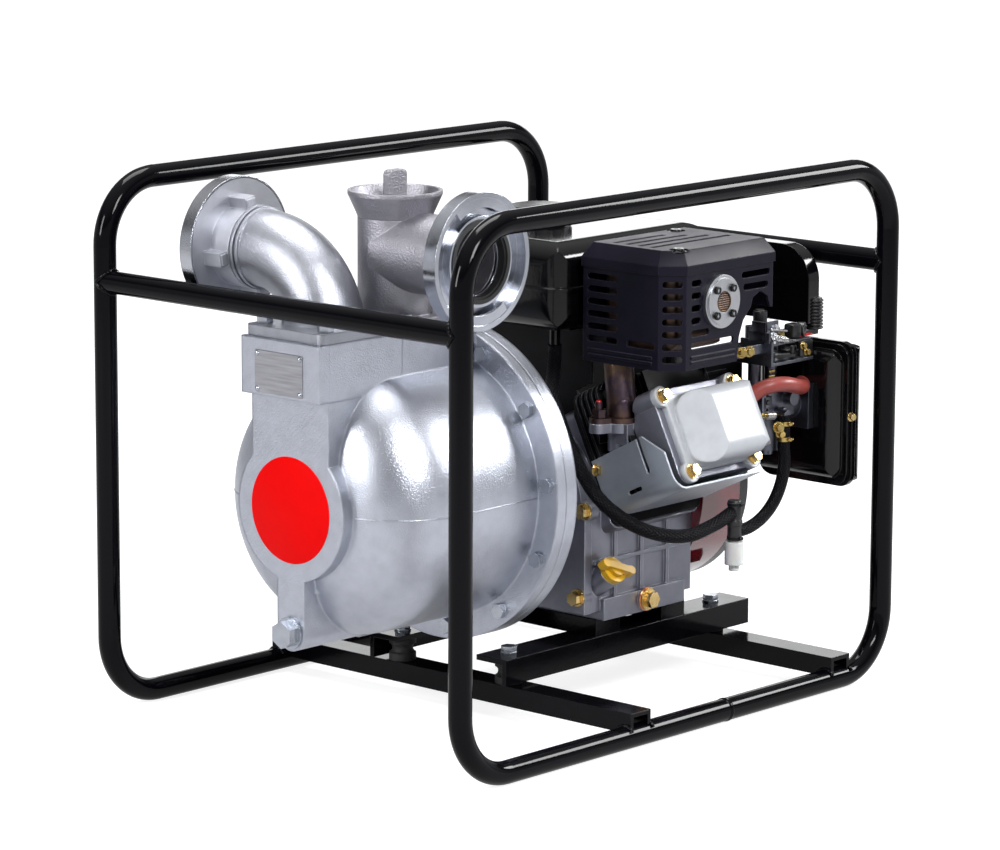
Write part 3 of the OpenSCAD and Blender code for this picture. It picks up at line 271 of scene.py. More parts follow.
M = {}
M["frame"] = painted("frame_gloss_black", (0.0018, 0.0018, 0.0028), 0.08, 0.02, 0.00003, 240,
                     Specular_IOR_Level=0.11)
M["rail"] = painted("rail_black", (0.002, 0.002, 0.0028), 0.13, 0.04, 0.00004, 300, 0.0012,
                    Specular_IOR_Level=0.12)
M["rubber"] = painted("mount_rubber", (0.012, 0.012, 0.012), 0.7, 0.1, 0.0001, 900)
M["zinc"] = plated("zinc_plate", [(0.36, 0.385, 0.43), (0.41, 0.435, 0.48), (0.46, 0.48, 0.52)], 0.22)
M["gold"] = plated("yellow_passivated", [(0.56, 0.39, 0.15), (0.64, 0.47, 0.2), (0.7, 0.54, 0.27)], 0.24)
M["copper"] = plated("copper_washer", [(0.55, 0.22, 0.11), (0.7, 0.33, 0.18), (0.8, 0.46, 0.28)], 0.3)
M["brass"] = plated("brass", [(0.36, 0.24, 0.07), (0.46, 0.33, 0.11), (0.54, 0.42, 0.18)], 0.26)
M["steel"] = plated("bright_steel", [(0.45, 0.46, 0.48), (0.58, 0.59, 0.61), (0.7, 0.7, 0.71)], 0.28)
M["cast"] = cast("blasted_aluminium", (0.46, 0.48, 0.54), 0.32, 720, 0.0004, 0.003, spread=0.025)
# slanting tool marks on the front pad alone
pad = M["cast"]
streaks = pad.noise(420, 2, at=pad.place(scale=(1, 1, 22), rot=(0.75, 0, 0), kind="TEXTURE"))
pad.bump(pad.math("MULTIPLY", streaks, pad.span(pad.axis("X"), 1.0, 0.0, -0.2836, -0.2832)), 0.0002)
M["elbow"] = cast("cast_aluminium", (0.34, 0.35, 0.39), 0.36, 700, 0.00045, 0.002, spread=0.03)
M["tee"] = cast("sand_cast_aluminium", (0.31, 0.305, 0.335), 0.46, 600, 0.0006, 0.002, spread=0.03)
M["inner"] = cast("inner_casting", (0.42, 0.43, 0.45), 0.5, 700, 0.0003, 0.0022, pits=0.5)
M["suction_ring"] = cast("coupling_casting", (0.46, 0.47, 0.51), 0.44, 700, 0.00025, 0.0012)
# machined rim of the suction coupling, found by its distance from the port's axis
ring = M["suction_ring"]
rim = ring.span(ring.length(ring.place(scale=(1, 0, 1), loc=(0.235, 0, -0.446))), 0.44, 0.15, 0.0604, 0.0612)
ring.link(ring.math("ADD", rim, ring.span(ring.noise(60, 3), -0.04, 0.04)), ring.b.inputs["Roughness"])
M["discharge_ring"] = turned("turned_discharge", (0.5, 0.52, 0.575), 0.19, (0.147, 0, -0.443))
M["bronze"] = cast("impeller_bronze", (0.5, 0.32, 0.13), 0.35, 700, 0.0003, 0.0022, pits=0.5)
M["engine"] = cast("engine_grey", (0.21, 0.215, 0.255), 0.33, 900, 0.00022, 0.0016, 0.65)
M["cover"] = cast("cover_silver", (0.5, 0.52, 0.55), 0.44, 1300, 0.00006, 0.003, 0.2, 0.04)
M["shroud"] = cast("shroud_grey", (0.3, 0.33, 0.37), 0.36, 1300, 0.00005, 0.0014, 0.4, 0.04)
M["fin"] = painted("fin_black", (0.004, 0.004, 0.005), 0.55, 0.08, 0.00012, 900, 0.0006, Specular_IOR_Level=0.2)
M["guard"] = painted("guard_black", (0.0052, 0.0045, 0.0115), 0.38, 0.04, 0.00004, 1500, 0.0014,
                     Specular_IOR_Level=0.15)
M["gloss"] = painted("gloss_black", (0.002, 0.002, 0.0026), 0.1, 0.03, 0.00003, 260, 0.0016,
                     Specular_IOR_Level=0.3)
M["plastic"] = painted("black_plastic", (0.0055, 0.0055, 0.0065), 0.34, 0.08, 0.00008, 1100, 0.001)
M["yellow"] = painted("dipstick_yellow", (0.8, 0.46, 0.015), 0.36, 0.06, 0.00006, 900, 0.001)
M["red_rubber"] = painted("red_rubber", (0.29, 0.05, 0.04), 0.42, 0.08, 0.00008, 700)
M["drum"] = painted("drum_red", (0.22, 0.004, 0.012), 0.08, 0.03, 0.00004, 300, 0.0015,
                    Coat_Weight=0.8, Coat_Roughness=0.03)
M["red"] = painted("red_plastic", (0.5, 0.012, 0.012), 0.3, 0.05, 0.00005, 900)
M["white"] = painted("filter_white", (0.78, 0.78, 0.76), 0.3, 0.06, 0.00005, 900, 0.001, Subsurface_Weight=0.15)
M["carb"] = cast("carburettor_alloy", (0.13, 0.135, 0.16), 0.32, 1100, 0.0002, 0.0008)
M["plate"] = cast("bright_sheet", (0.42, 0.43, 0.45), 0.36, 1000, 0.0001, 0.0006)
M["seal"] = painted("seal_rubber", (0.012, 0.012, 0.013), 0.55, 0.1, 0.00006, 900)


def heat_tinted():
    """Steel that the exhaust has browned, more so higher up."""
    m = Mat("heat_tinted_steel", (0.2, 0.15, 0.13), 0.95, 0.36)
    z = m.span(m.axis("Z"), 0.0, 1.0, 0.26, 0.35)
    f = m.math("ADD", m.math("MULTIPLY", z, 0.45), m.math("MULTIPLY", m.noise(45, 5, 0.6), 0.6))
    m.colour(f, (0.2, (0.2, 0.17, 0.16)), (0.38, (0.1, 0.06, 0.045)), (0.52, (0.055, 0.04, 0.055)),
             (0.66, (0.12, 0.075, 0.05)), (0.85, (0.05, 0.04, 0.042)))
    m.roughness(m.noise(80, 4), 0.28, 0.5)
    m.bump(m.noise(600, 3), 0.0001)
    return m


M["hot"] = heat_tinted()
# edges lighter from handling, and with a painted highlight where they catch the light
M["fin"].edge_wear_and_highlight((0.22, 0.225, 0.25), 0.0006)
M["engine"].edge_wear_and_highlight((0.52, 0.53, 0.58), 0.0014)
M["shroud"].edge_wear_and_highlight((0.5, 0.53, 0.57), 0.0009)
M["guard"].edge_wear_and_highlight((0.03, 0.028, 0.045), 0.0012)
M["rail"].edge_wear_and_highlight((0.02, 0.02, 0.024), 0.001)

LOOK = {
    "side_loop_near": "frame", "side_loop_far": "frame", "cross_tube_front": "frame", "cross_tube_rear": "frame",
    "base_rail_front": "rail", "base_rail_rear": "rail", "bed_rail_near": "rail", "bed_rail_far": "rail",
    "rubber_mounts": "rubber", "engine_straps": "rail", "frame_bolts": "zinc", "pump_casing": "cast",
    "pump_backplate": "cast", "volute": "inner", "impeller": "bronze", "impeller_nut": "steel",
    "shaft_seal": "seal", "suction_elbow": "elbow", "suction_coupling": "suction_ring", "suction_seal": "seal",
    "check_flap": "seal", "discharge_tee": "tee", "discharge_coupling": "discharge_ring",
    "discharge_seal": "seal", "priming_plug": "tee", "priming_funnel": "tee", "drain_plug": "zinc",
    "pump_bolts": "zinc", "crankcase": "engine", "crankcase_cover": "engine", "crankshaft": "steel",
    "flywheel": "inner", "cylinder": "fin", "cylinder_head": "engine", "valve_cover": "cover",
    "cylinder_shroud": "shroud", "muffler": "hot", "muffler_guard": "guard", "outlet_plate": "plate",
    "exhaust_pipe": "hot", "carburettor": "carb", "control_bracket": "carb", "throttle_lever": "plastic",
    "choke_lever": "plastic", "air_cleaner_case": "gloss", "air_cleaner_cover": "gloss",
    "breather_tube": "red_rubber", "fuel_tank": "gloss", "tank_stay": "fin", "fuel_cap": "plastic",
    "fuel_hose": "plastic", "carb_hose": "plastic", "fuel_filter": "white", "dipstick": "yellow",
    "oil_drain_bolt": "gold",
    "blower_housing": "drum", "upper_shroud": "gloss", "recoil_cover": "plastic", "recoil_grip": "plastic",
    "engine_bolts": "gold",
}
for name, o in nodes.items():
    m = M[LOOK[name]].m
    if not o.material_slots:
        o.data.materials.append(m)
    for s in o.material_slots:
        s.material = m


# mesh helpers, all in millimetres in the row frame
def piece(name, bm, look, body=SET):
    """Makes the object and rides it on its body."""
    bmesh.ops.remove_doubles(bm, verts=bm.verts, dist=0.001)
    bmesh.ops.recalc_face_normals(bm, faces=bm.faces)
    bmesh.ops.scale(bm, vec=(0.001,) * 3, verts=bm.verts)
    data = bpy.data.meshes.new(name)
    bm.to_mesh(data)
    bm.free()
    o = bpy.data.objects.new(name, data)
    scene.collection.objects.link(o)
    data.materials.append(look.m if isinstance(look, Mat) else M[look].m)
    data.shade_smooth()
    data.set_sharp_from_angle(angle=math.radians(40))
    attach(o, body)
    return o


def frame_of(at, axis):
    q = Vector(axis).normalized().to_track_quat("Z", "Y")
    return Matrix.Translation(Vector(at)) @ q.to_matrix().to_4x4()


def lathe(bm, profile, at, axis, n=36, turn=0.0):
    """Revolves (radius, height) points round an axis; a third value makes that ring a hexagon."""
    m = frame_of(at, axis)
    rings = []
    for r, h, *six in profile:
        if r == 0:
            rings.append([bm.verts.new(m @ Vector((0, 0, h)))])
            continue
        ring = []
        for i in range(n):
            a = 2 * math.pi * i / n
            k = r * math.cos(math.pi / 6) / math.cos(a % (math.pi / 3) - math.pi / 6) if six else r
            ring.append(bm.verts.new(m @ Vector((k * math.cos(a + turn), k * math.sin(a + turn), h))))
        rings.append(ring)
    for p, q in zip(rings, rings[1:]):
        for i in range(max(len(p), len(q))):
            quad = [p[i % len(p)], p[(i + 1) % len(p)], q[(i + 1) % len(q)], q[i % len(q)]]
            quad = list(dict.fromkeys(quad))
            if len(quad) > 2:
                bm.faces.new(quad)


def rod(bm, a, b, r, n=20):
    d = Vector(b) - Vector(a)
    c = min(0.4, r * 0.3)
    lathe(bm, [(0, 0), (r - c, 0), (r, c), (r, d.length - c), (r - c, d.length), (0, d.length)], a, d, n)


def hex_head(bm, at, axis, af, h, washer=0.0, turn=0.0):
    """Hexagon head of width af, on a washer of that radius if given."""
    r, z = af / math.sqrt(3), 0.0
    prof = [(0, 0)]
    if washer:
        prof += [(washer, 0), (washer, 1.0), (washer - 0.3, 1.3)]
        z = 1.3
    prof += [(r, z, 6), (r, z + h - 0.09 * af, 6), (r * 0.87, z + h), (r * 0.5, z + h), (0, z + h)]
    lathe(bm, prof, at, axis, 36, turn)


def socket_head(bm, at, axis, r, h, key, turn):
    floor = h - 0.6 * key
    lathe(bm, [(0, 0), (r, 0), (r, h - 0.7), (r - 0.25, h - 0.2), (r - 0.7, h), (key, h, 6), (key, floor, 6),
               (0, floor)], at, axis, 36, turn)


def hoop(bm, at, axis, r, width, t):
    w = width / 2
    lathe(bm, [(r, -w), (r + t, -w), (r + t, w), (r, w), (r, -w)], at, axis, 40)


def spring(bm, a, b, coil, wire, turns):
    d = Vector(b) - Vector(a)
    m = frame_of(a, d)
    k = turns * 12
    sweep(bm, [m @ Vector((coil * math.cos(i * math.pi / 6), coil * math.sin(i * math.pi / 6), d.length * i / k))
               for i in range(k + 1)], wire, 8)


def block(bm, x0, x1, y0, y1, z0, z1, c=0.8):
    """Box with rounded edges."""
    place = Matrix.Translation(((x0 + x1) / 2, (y0 + y1) / 2, (z0 + z1) / 2))
    size = Matrix.Diagonal((x1 - x0, y1 - y0, z1 - z0, 1))
    g = bmesh.ops.create_cube(bm, size=1, matrix=place @ size)
    edges = list(dict.fromkeys(e for v in g["verts"] for e in v.link_edges))
    bmesh.ops.bevel(bm, geom=edges, offset=c, segments=2, profile=0.5, affect="EDGES")


def smooth_path(pts, step=3.0):
    """Points along a Catmull-Rom curve through pts."""
    pts = [Vector(p) for p in pts]
    ext = [2 * pts[0] - pts[1], *pts, 2 * pts[-1] - pts[-2]]
    out = []
    for a, b, c, d in zip(ext, ext[1:], ext[2:], ext[3:]):
        k = max(2, int((c - b).length / step))
        for i in range(k):
            t = i / k
            out.append(0.5 * ((2 * b) + (c - a) * t + (2 * a - 5 * b + 4 * c - d) * t * t
                              + (3 * b - a - 3 * c + d) * t ** 3))
    out.append(pts[-1])
    return out


def sweep(bm, path, radius, n=20):
    """Round tube along a path, with a UV of turn and length in millimetres."""
    uv = bm.loops.layers.uv.verify()
    up = None
    rings, length, lens = [], 0.0, []
    for i, p in enumerate(path):
        t = (path[min(i + 1, len(path) - 1)] - path[max(i - 1, 0)]).normalized()
        up = t.orthogonal().normalized() if up is None else (up - t * up.dot(t)).normalized()
        side = t.cross(up)
        r = radius(i / (len(path) - 1)) if callable(radius) else radius
        rings.append([bm.verts.new(p + (up * math.cos(a) + side * math.sin(a)) * r)
                      for a in (2 * math.pi * k / n for k in range(n))])
        lens.append(length)
        if i + 1 < len(path):
            length += (path[i + 1] - p).length
    for j, (p, q) in enumerate(zip(rings, rings[1:])):
        for k in range(n):
            f = bm.faces.new((p[k], p[(k + 1) % n], q[(k + 1) % n], q[k]))
            for loop, (u, v) in zip(f.loops, ((k, j), (k + 1, j), (k + 1, j + 1), (k, j + 1))):
                loop[uv].uv = (u / n, lens[v])
    bm.faces.new(rings[0])
    bm.faces.new(rings[-1])


# stage and light
def stage():
    bm = bmesh.new()
    bmesh.ops.create_circle(bm, cap_ends=True, radius=30, segments=64)
    data = bpy.data.meshes.new("floor")
    bm.to_mesh(data)
    bm.free()
    o = bpy.data.objects.new("floor", data)
    scene.collection.objects.link(o)
    m = Mat("floor_white", (0.34, 0.34, 0.35), 0.0, 0.9, Specular_IOR_Level=0.0)
    m.b.inputs["Emission Color"].default_value = (1, 1, 1, 1)
    away = m.length(m.co)
    path = m.new("ShaderNodeLightPath")
    dim = m.span(path.outputs["Is Glossy Ray"], 1.0, 0.52)
    m.link(m.math("MULTIPLY", m.span(away, 0.86, 1.05, 0.55, 1.3), dim), m.b.inputs["Emission Strength"])
    far = m.new("ShaderNodeBsdfDiffuse")
    grey = m.ramp(m.span(away, 0.0, 1.0, 0.3, 3.0), (0.0, (0.32, 0.32, 0.35)), (1.0, (0.03, 0.03, 0.04)))
    m.link(grey, far.inputs["Color"])
    seen = m.math("MAXIMUM", path.outputs["Is Camera Ray"],
                  m.math("MAXIMUM", path.outputs["Is Glossy Ray"], path.outputs["Is Transmission Ray"]))
    mix = m.new("ShaderNodeMixShader")
    m.link(seen, mix.inputs["Fac"])
    m.link(far.outputs["BSDF"], mix.inputs[1])
    m.link(m.b.outputs["BSDF"], mix.inputs[2])
    m.link(mix.outputs["Shader"], m.nt.nodes["Material Output"].inputs["Surface"])
    data.materials.append(m.m)

    # pale backdrop, a dark band above it and a white ceiling, for reflections
    w = bpy.data.worlds.new("studio")
    scene.world = w
    w.use_nodes = True
    nt = w.node_tree
    bg = nt.nodes["Background"]
    bg.inputs["Color"].default_value = (0.5, 0.55, 0.72, 1)
    bg.inputs["Strength"].default_value = 0.1
    co = nt.nodes.new("ShaderNodeTexCoord")
    xyz = nt.nodes.new("ShaderNodeSeparateXYZ")
    ramp = nt.nodes.new("ShaderNodeValToRGB")
    stops = ramp.color_ramp.elements
    stops.new(0.5)
    for e, (pos, c) in zip(stops, ((0.2, (0.5828, 0.5952, 0.62)), (0.34, (0.047, 0.048, 0.05)), (1.0, (1, 1, 1)))):
        e.position = pos
        e.color = (*c, 1)
    nt.links.new(co.outputs["Generated"], xyz.inputs["Vector"])
    nt.links.new(xyz.outputs["Z"], ramp.inputs["Fac"])
    wall = nt.nodes.new("ShaderNodeBackground")
    nt.links.new(ramp.outputs["Color"], wall.inputs["Color"])
    white = nt.nodes.new("ShaderNodeBackground")
    white.inputs["Color"].default_value = (1, 1, 1, 1)
    white.inputs["Strength"].default_value = 1.0
    path = nt.nodes.new("ShaderNodeLightPath")
    last = bg
    for shader, ray in ((wall, "Is Glossy Ray"), (wall, "Is Transmission Ray"), (white, "Is Camera Ray")):
        mix = nt.nodes.new("ShaderNodeMixShader")
        nt.links.new(path.outputs[ray], mix.inputs["Fac"])
        nt.links.new(last.outputs[0], mix.inputs[1])
        nt.links.new(shader.outputs[0], mix.inputs[2])
        last = mix
    nt.links.new(last.outputs[0], nt.nodes["World Output"].inputs["Surface"])


def softbox(name, direction, distance, size, watts):
    """Lamp that looks at the middle of the object."""
    data = bpy.data.lights.new(name, "AREA")
    data.shape = "RECTANGLE"
    data.size, data.size_y = size
    data.energy = watts
    o = bpy.data.objects.new(name, data)
    scene.collection.objects.link(o)
    d = Vector(direction).normalized()
    o.location = Vector((0, 0, 0.25)) + d * distance
    o.rotation_mode = "QUATERNION"
    o.rotation_quaternion = d.to_track_quat("Z", "Y")


stage()
softbox("box_right", (0.73, -0.49, 0.45), 2.4, (0.8, 0.6), 40)
softbox("box_near", (-0.3, -0.75, 0.62), 2.4, (0.5, 0.8), 46)
softbox("box_top", (0.1, 0.2, 1.0), 2.4, (1.5, 1.1), 56)
softbox("box_left", (-1.0, 0.2, 0.42), 2.6, (0.5, 1.0), 40)
softbox("box_back", (0.7, 0.63, 0.21), 3.4, (3.0, 0.8), 14)


# blank red disc on the pad of the casing
bm = bmesh.new()
lathe(bm, [(0, 0.7), (48.2, 0.7), (48.8, 0.5), (49, 0.0), (0, 0)], (-284, 0, PAD_Z), (-1, 0, 0), 96)
disc_look = painted("disc_vinyl_red", (0.9, 0.0, 0.0), 0.4, 0.04, 0.00003, 500, tone=0.02,
                    Specular_IOR_Level=0.1)
piece("pad_disc", bm, disc_look)


# bare data plate
def rounded_plate(bm, y0, y1, z0, z1, r, x, t, inset=0.35, k=6):
    """Plate of thickness t on the plane x, with corners of radius r and a chamfer."""
    corners = ((y1 - r, z1 - r, 0), (y0 + r, z1 - r, 90), (y0 + r, z0 + r, 180), (y1 - r, z0 + r, 270))
    loops = []
    for dx, s in ((0, 0.0), (-t + inset, 0.0), (-t, inset)):
        ring = []
        for cy, cz, a0 in corners:
            for i in range(k + 1):
                a = math.radians(a0 + 90 * i / k)
                ring.append(bm.verts.new((x + dx, cy + (r - s) * math.cos(a), cz + (r - s) * math.sin(a))))
        loops.append(ring)
    for p, q in zip(loops, loops[1:]):
        for i in range(len(p)):
            bm.faces.new((p[i], p[(i + 1) % len(p)], q[(i + 1) % len(p)], q[i]))
    bm.faces.new(loops[-1])
    bm.faces.new(loops[0])


bm = bmesh.new()
rounded_plate(bm, -28.2, 31.6, 327.6, 366.2, 2.0, -296, 0.9)
plate_look = Mat("bare_plate", (0.36, 0.36, 0.38), 1.0, 0.36)
plate_look.colour(plate_look.noise(28, 4, at=plate_look.place(scale=(1, 1, 14))),
                  (0.3, (0.3, 0.3, 0.32)), (0.7, (0.43, 0.43, 0.46)))
plate_look.bump(plate_look.noise(260, 2, at=plate_look.place(scale=(1, 1, 12))), 0.00006)
piece("data_plate", bm, plate_look)
bm = bmesh.new()
for y in (-25.0, 28.4):
    for z in (330.8, 363.0):
        lathe(bm, [(0, 1.5), (1.0, 1.4), (1.9, 0.95), (2.4, 0.25), (2.45, 0), (0, 0)],
              (-296.9, y, z), (-1, 0, 0), 20)
piece("plate_rivets", bm, "zinc")


# hoses with a woven cover
def braid(name, c, turns, pitch):
    """Two crossed sets of threads: turns round the hose, pitch in millimetres along it."""
    m = Mat(name, c, 0.0, 0.42, Specular_IOR_Level=0.08)
    m.co = m.new("ShaderNodeTexCoord").outputs["UV"]
    u, v = m.axis("X"), m.axis("Y")
    k = 2 * math.pi
    a = m.math("ADD", m.math("MULTIPLY", u, k * turns), m.math("MULTIPLY", v, k / pitch))
    b = m.math("SUBTRACT", m.math("MULTIPLY", u, k * turns), m.math("MULTIPLY", v, k / pitch))
    f = m.span(m.math("MAXIMUM", m.math("SINE", a), m.math("SINE", b)), 0.0, 1.0, -0.4, 1.0)
    # lighter on the thread crests and darker between the threads: painted highlight and painted shade in the weave
    lo, hi = shades(c, 0.45, 1.9)
    m.colour(f, (0.2, lo), (0.9, hi))
    m.link(m.span(f, 0.55, 0.3), m.b.inputs["Roughness"])
    m.bump(f, 0.0005)
    return m


hose_look = braid("braided_hose", (0.003, 0.003, 0.004), 14, 5.5)


def arc_pts(a, b, c, k):
    """Points on the circle through a, b and c, from a to c."""
    a, b, c = Vector(a), Vector(b), Vector(c)
    u, v = b - a, c - a
    n = u.cross(v)
    o = a + (n.cross(u) * v.dot(v) + v.cross(n) * u.dot(u)) / (2 * n.dot(n))
    e = (a - o).normalized()
    f = n.normalized().cross(e)
    r = (a - o).length
    ang = math.atan2((c - o).dot(f), (c - o).dot(e)) % (2 * math.pi)
    return [o + (e * math.cos(ang * i / k) + f * math.sin(ang * i / k)) * r for i in range(k + 1)]


route_a = [(40, -30, 336), (40, -30, 327), (30, -38, 318), (2, -60, 300),
           *arc_pts((2, -60, 300), (-10, -88, 262), (0, -112, 214), 6)[1:],
           *arc_pts((0, -112, 214), (22, -156, 179), (74, -177, 170), 8)[1:],
           (102, -178, 175), (125, -178, 182)]
bm = bmesh.new()
sweep(bm, smooth_path(route_a), 6.5)
hose = piece("fuel_hose_braided", bm, hose_look)
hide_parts("fuel_hose")
route_b = [(SPIGOT_X, SPIGOT_Y, 266), (SPIGOT_X, SPIGOT_Y, 250),
           *arc_pts((SPIGOT_X, SPIGOT_Y, 236), (181, -182, 182), (134, -178, 163), 8)]
bm = bmesh.new()
sweep(bm, smooth_path(route_b), 6.0)
hose = piece("carb_hose_braided", bm, hose_look)
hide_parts("carb_hose")


# red breather hose
route_c = [(155.2, -169.2, 285.4), (161, -170, 287), (168, -176, 294), (178, -184, 298), (192, -187.5, 297.5),
           (207, -186.5, 294), (221, -181.5, 290.5), (233, -175, 288.6), (243, -168, 288), (251, -160, 288)]
bm = bmesh.new()
sweep(bm, smooth_path(route_c, 1.5), lambda t: 7.3 + 0.3 * max(0.0, 1 - t * 14), 28)
hose = piece("breather_hose", bm, "red_rubber")
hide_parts("breather_tube")


# filter sleeve and hose clips
bm = bmesh.new()
lathe(bm, [(0, 155), (6.2, 155), (6.7, 155.5), (6.7, 169), (7.5, 169.6), (7.5, 174.4), (6.7, 175), (6.7, 192.6),
           (6.1, 193.4), (0, 193.4)], (FILTER_X, FILTER_Y, 0), (0, 0, 1), 40)
piece("filter_sleeve", bm, "plastic")
bm = bmesh.new()
for z in (243.0, 258.0):
    hoop(bm, (SPIGOT_X, SPIGOT_Y, z), (0, 0, 1), 6.1, 4.0, 0.6)
    block(bm, SPIGOT_X - 2.4, SPIGOT_X + 2.4, -189.2, -186.6, z - 1.5, z + 1.5, 0.4)
    rod(bm, (SPIGOT_X - 3.6, -188.2, z), (SPIGOT_X + 4, -188.2, z), 0.8)
piece("hose_clips", bm, "brass")
bm = bmesh.new()
for z in (157.6, 190.0):
    hoop(bm, (FILTER_X, FILTER_Y, z), (0, 0, 1), 6.6, 3.0, 0.6)
    block(bm, FILTER_X - 2.4, FILTER_X + 2.4, FILTER_Y - 9.4, FILTER_Y - 6.9, z - 1.4, z + 1.4, 0.4)
piece("sleeve_clips", bm, "fin")


# fasteners that the construction leaves plain
bm = bmesh.new()
for x in (-11.5, 11.5):
    for z in (-12, 12):
        socket_head(bm, (OUTLET_X + x, -188.0, OUTLET_Z + z), (0, -1, 0), 3.9, 3.1, 1.9, 0.2 * x)
for x, y in ((148, -87), (54, -169)):
    lathe(bm, [(0, 0), (8.6, 0), (8.6, 0.8), (8.2, 1.0), (5.6, 1.1), (5.5, 2.9), (4.9, 3.5), (2.4, 3.5, 6),
               (2.4, 1.6, 6), (0, 1.6)], (x, y, 436.9), (0, 0, 1))
piece("black_screws", bm, "gloss")

# spark mesh in the exhaust outlet
MESH_R, MESH_PITCH = 9.4, 2.1
bm = bmesh.new()
for i in range(-4, 5):
    d = MESH_PITCH * i
    w = math.sqrt(MESH_R ** 2 - d ** 2)
    rod(bm, (OUTLET_X + d, -186.6, OUTLET_Z - w), (OUTLET_X + d, -186.6, OUTLET_Z + w), 0.5, 8)
    rod(bm, (OUTLET_X - w, -187.2, OUTLET_Z + d), (OUTLET_X + w, -187.2, OUTLET_Z + d), 0.5, 8)
hoop(bm, (OUTLET_X, -187, OUTLET_Z), (0, 1, 0), 8.9, 2.2, 1.0)
piece("outlet_mesh", bm, "hot")

# drain washer, gold bolts and red stud caps
bm = bmesh.new()
lathe(bm, [(6.5, 0), (11.2, 0), (11.6, 0.4), (11.6, 1.5), (11.2, 1.9), (6.5, 1.9), (6.5, 0)],
      (99, -98.1, 91), (0, 1, 0), 40)
piece("drain_washer", bm, "copper")
bm = bmesh.new()
hex_head(bm, (31, -90.5, 225), (0, -1, 0), 8, 5, 6.4, 0.3)
hex_head(bm, (268, -207.5, 258.3), (-0.3, -1, 0.1), 6, 3.6, 4.4, 0.2)
piece("gold_heads", bm, "gold")
bm = bmesh.new()
for x, y in ((68.6, -116.2), (23.4, -99.8)):
    lathe(bm, [(0, 0), (3.0, 0), (3.0, 4.2), (2.4, 5.6), (1.0, 6.2), (0, 6.2)], (x, y, 287.5), (0, 0, 1), 24)
piece("stud_caps", bm, "red")

# butt seams of the bent tubes, flat where they would go under the ground
bm = bmesh.new()
for y in (-LOOP_Y, LOOP_Y):
    lathe(bm, [(10.5, -2.4), (11.0, -2.2), (11.25, -0.6), (10.8, 0), (11.25, 0.6), (11.0, 2.2), (10.5, 2.4),
               (10.5, -2.4)], (63, y, TUBE_R), (1, 0, 0), 48)
for v in bm.verts:
    v.co.z = max(v.co.z, 0.02)
piece("tube_seams", bm, "frame")


# starter rope: the length that the grip draws out of its eye
bm = bmesh.new()
sweep(bm, [Vector((251.5, y, 226)) for y in range(93, 11, -3)], 2.1, 12)
rope_look = braid("starter_rope", (0.02, 0.02, 0.022), 4, 4.0)
piece("recoil_rope", bm, rope_look, "recoil_grip")


# parting line of the casing
def dome_r(x):
    """Radius of the casing: a drum up to x = -200, then a rounded shoulder."""
    return 126.0 if x > -200 else 54 + math.sqrt(72 ** 2 - (x + 200) ** 2)


bm = bmesh.new()
for s in (-1, 1):
    sweep(bm, [Vector((x, s * (dome_r(x) - 0.6), PAD_Z)) for x in (-92 - 1.5 * i for i in range(120)) if x > -271],
          1.0, 10)
piece("parting_line", bm, "cast")


# ribbed boot on the control arm
bm = bmesh.new()
prof = [(0, 0), (7.4, 0)]
for i in range(9):
    z = 0.6 + 3.3 * i
    prof += [(8.7, z), (8.9, z + 0.8), (8.6, z + 1.6), (7.3, z + 2.3), (7.2, z + 2.9)]
prof += [(7.4, 30.5), (0, 30.5)]
lathe(bm, prof, (277, CLEANER_Y, 337), (0, 0, 1), 40)
piece("arm_boot", bm, "plastic")


# black sheet with bolts and ribs between the cylinder and the carburettor: a guessed shield that also stands as
# painted shade over that dark gap
bm = bmesh.new()
block(bm, 166, 237, -98.4, -96.8, 280, 322, 0.4)
block(bm, 166, 168, -110, -97, 284, 322, 0.4)
for x, z in ((172, 290), (172, 316), (230, 316)):
    hex_head(bm, (x, -98.4, z), (0, -1, 0), 6, 3, 4.4, 0.3)
for i in range(4):
    rod(bm, (184, -98.8, 289 + 9 * i), (212, -98.8, 289 + 9 * i), 1.4, 12)
piece("intake_shade_sheet", bm, "fin")


# carburettor and governor fittings
bm = bmesh.new()
block(bm, 183, 247, -176, -153, 333, 335, 0.5)
block(bm, 181, 184.5, -176, -150, 336, 346, 0.5)
block(bm, 181, 201, -171, -168.5, 335, 356, 0.6)
block(bm, 181, 184, -171, -154, 344, 356, 0.6)
block(bm, 186, 200, -169, -156, 337, 351, 1.2)
block(bm, 176, 189, -174, -166, 273, 285, 0.7)
block(bm, 200.5, 206.5, -178.5, -172, 256, 272, 1.0)
rod(bm, (208, -148, 338), (208, -148, 362), 2.6)
block(bm, 139, 184, -171.6, -169.8, 327, 336.5, 0.5)
piece("governor_frame", bm, "carb")
bm = bmesh.new()
rod(bm, (199.5, -149, 346), (199.5, -149, 363), 6.4)
rod(bm, (199.5, -149, 361), (199.5, -149, 364.4), 4.6)
block(bm, 223, 237, -171, -159, 335, 349, 2.4)
lathe(bm, [(3.0, -3.4), (6.8, -3.4), (7.2, -3.0), (7.2, 3.0), (6.8, 3.4), (3.0, 3.4), (3.0, -3.4)],
      (243.5, -165, 341.6), (0.5, -1, 0), 40)
block(bm, 227, 246, -177.2, -174.4, 318.4, 333, 0.6)
rod(bm, (182.4, -175.2, 279.4), (182.4, -172.4, 279.4), 2.6)
piece("governor_knobs", bm, "plastic")
bm = bmesh.new()
block(bm, 229, 258.5, -168, -162, 335.0, 336.1, 0.4)
piece("red_strip", bm, "red")
bm = bmesh.new()
for at in ((235.5, -177.2, 322.2), (229.5, -177.2, 329.0)):
    hex_head(bm, at, (0, -1, 0), 5, 3.0, 3.6, 0.2)
for at in ((143.5, -172, 332), (155, -172, 331.7)):
    hex_head(bm, at, (-0.4, -1, 0.1), 7, 4.5, 5.4, 0.4)
hex_head(bm, (211.5, -165, 335.2), (0, 0, 1), 7, 5.5, 5.0)
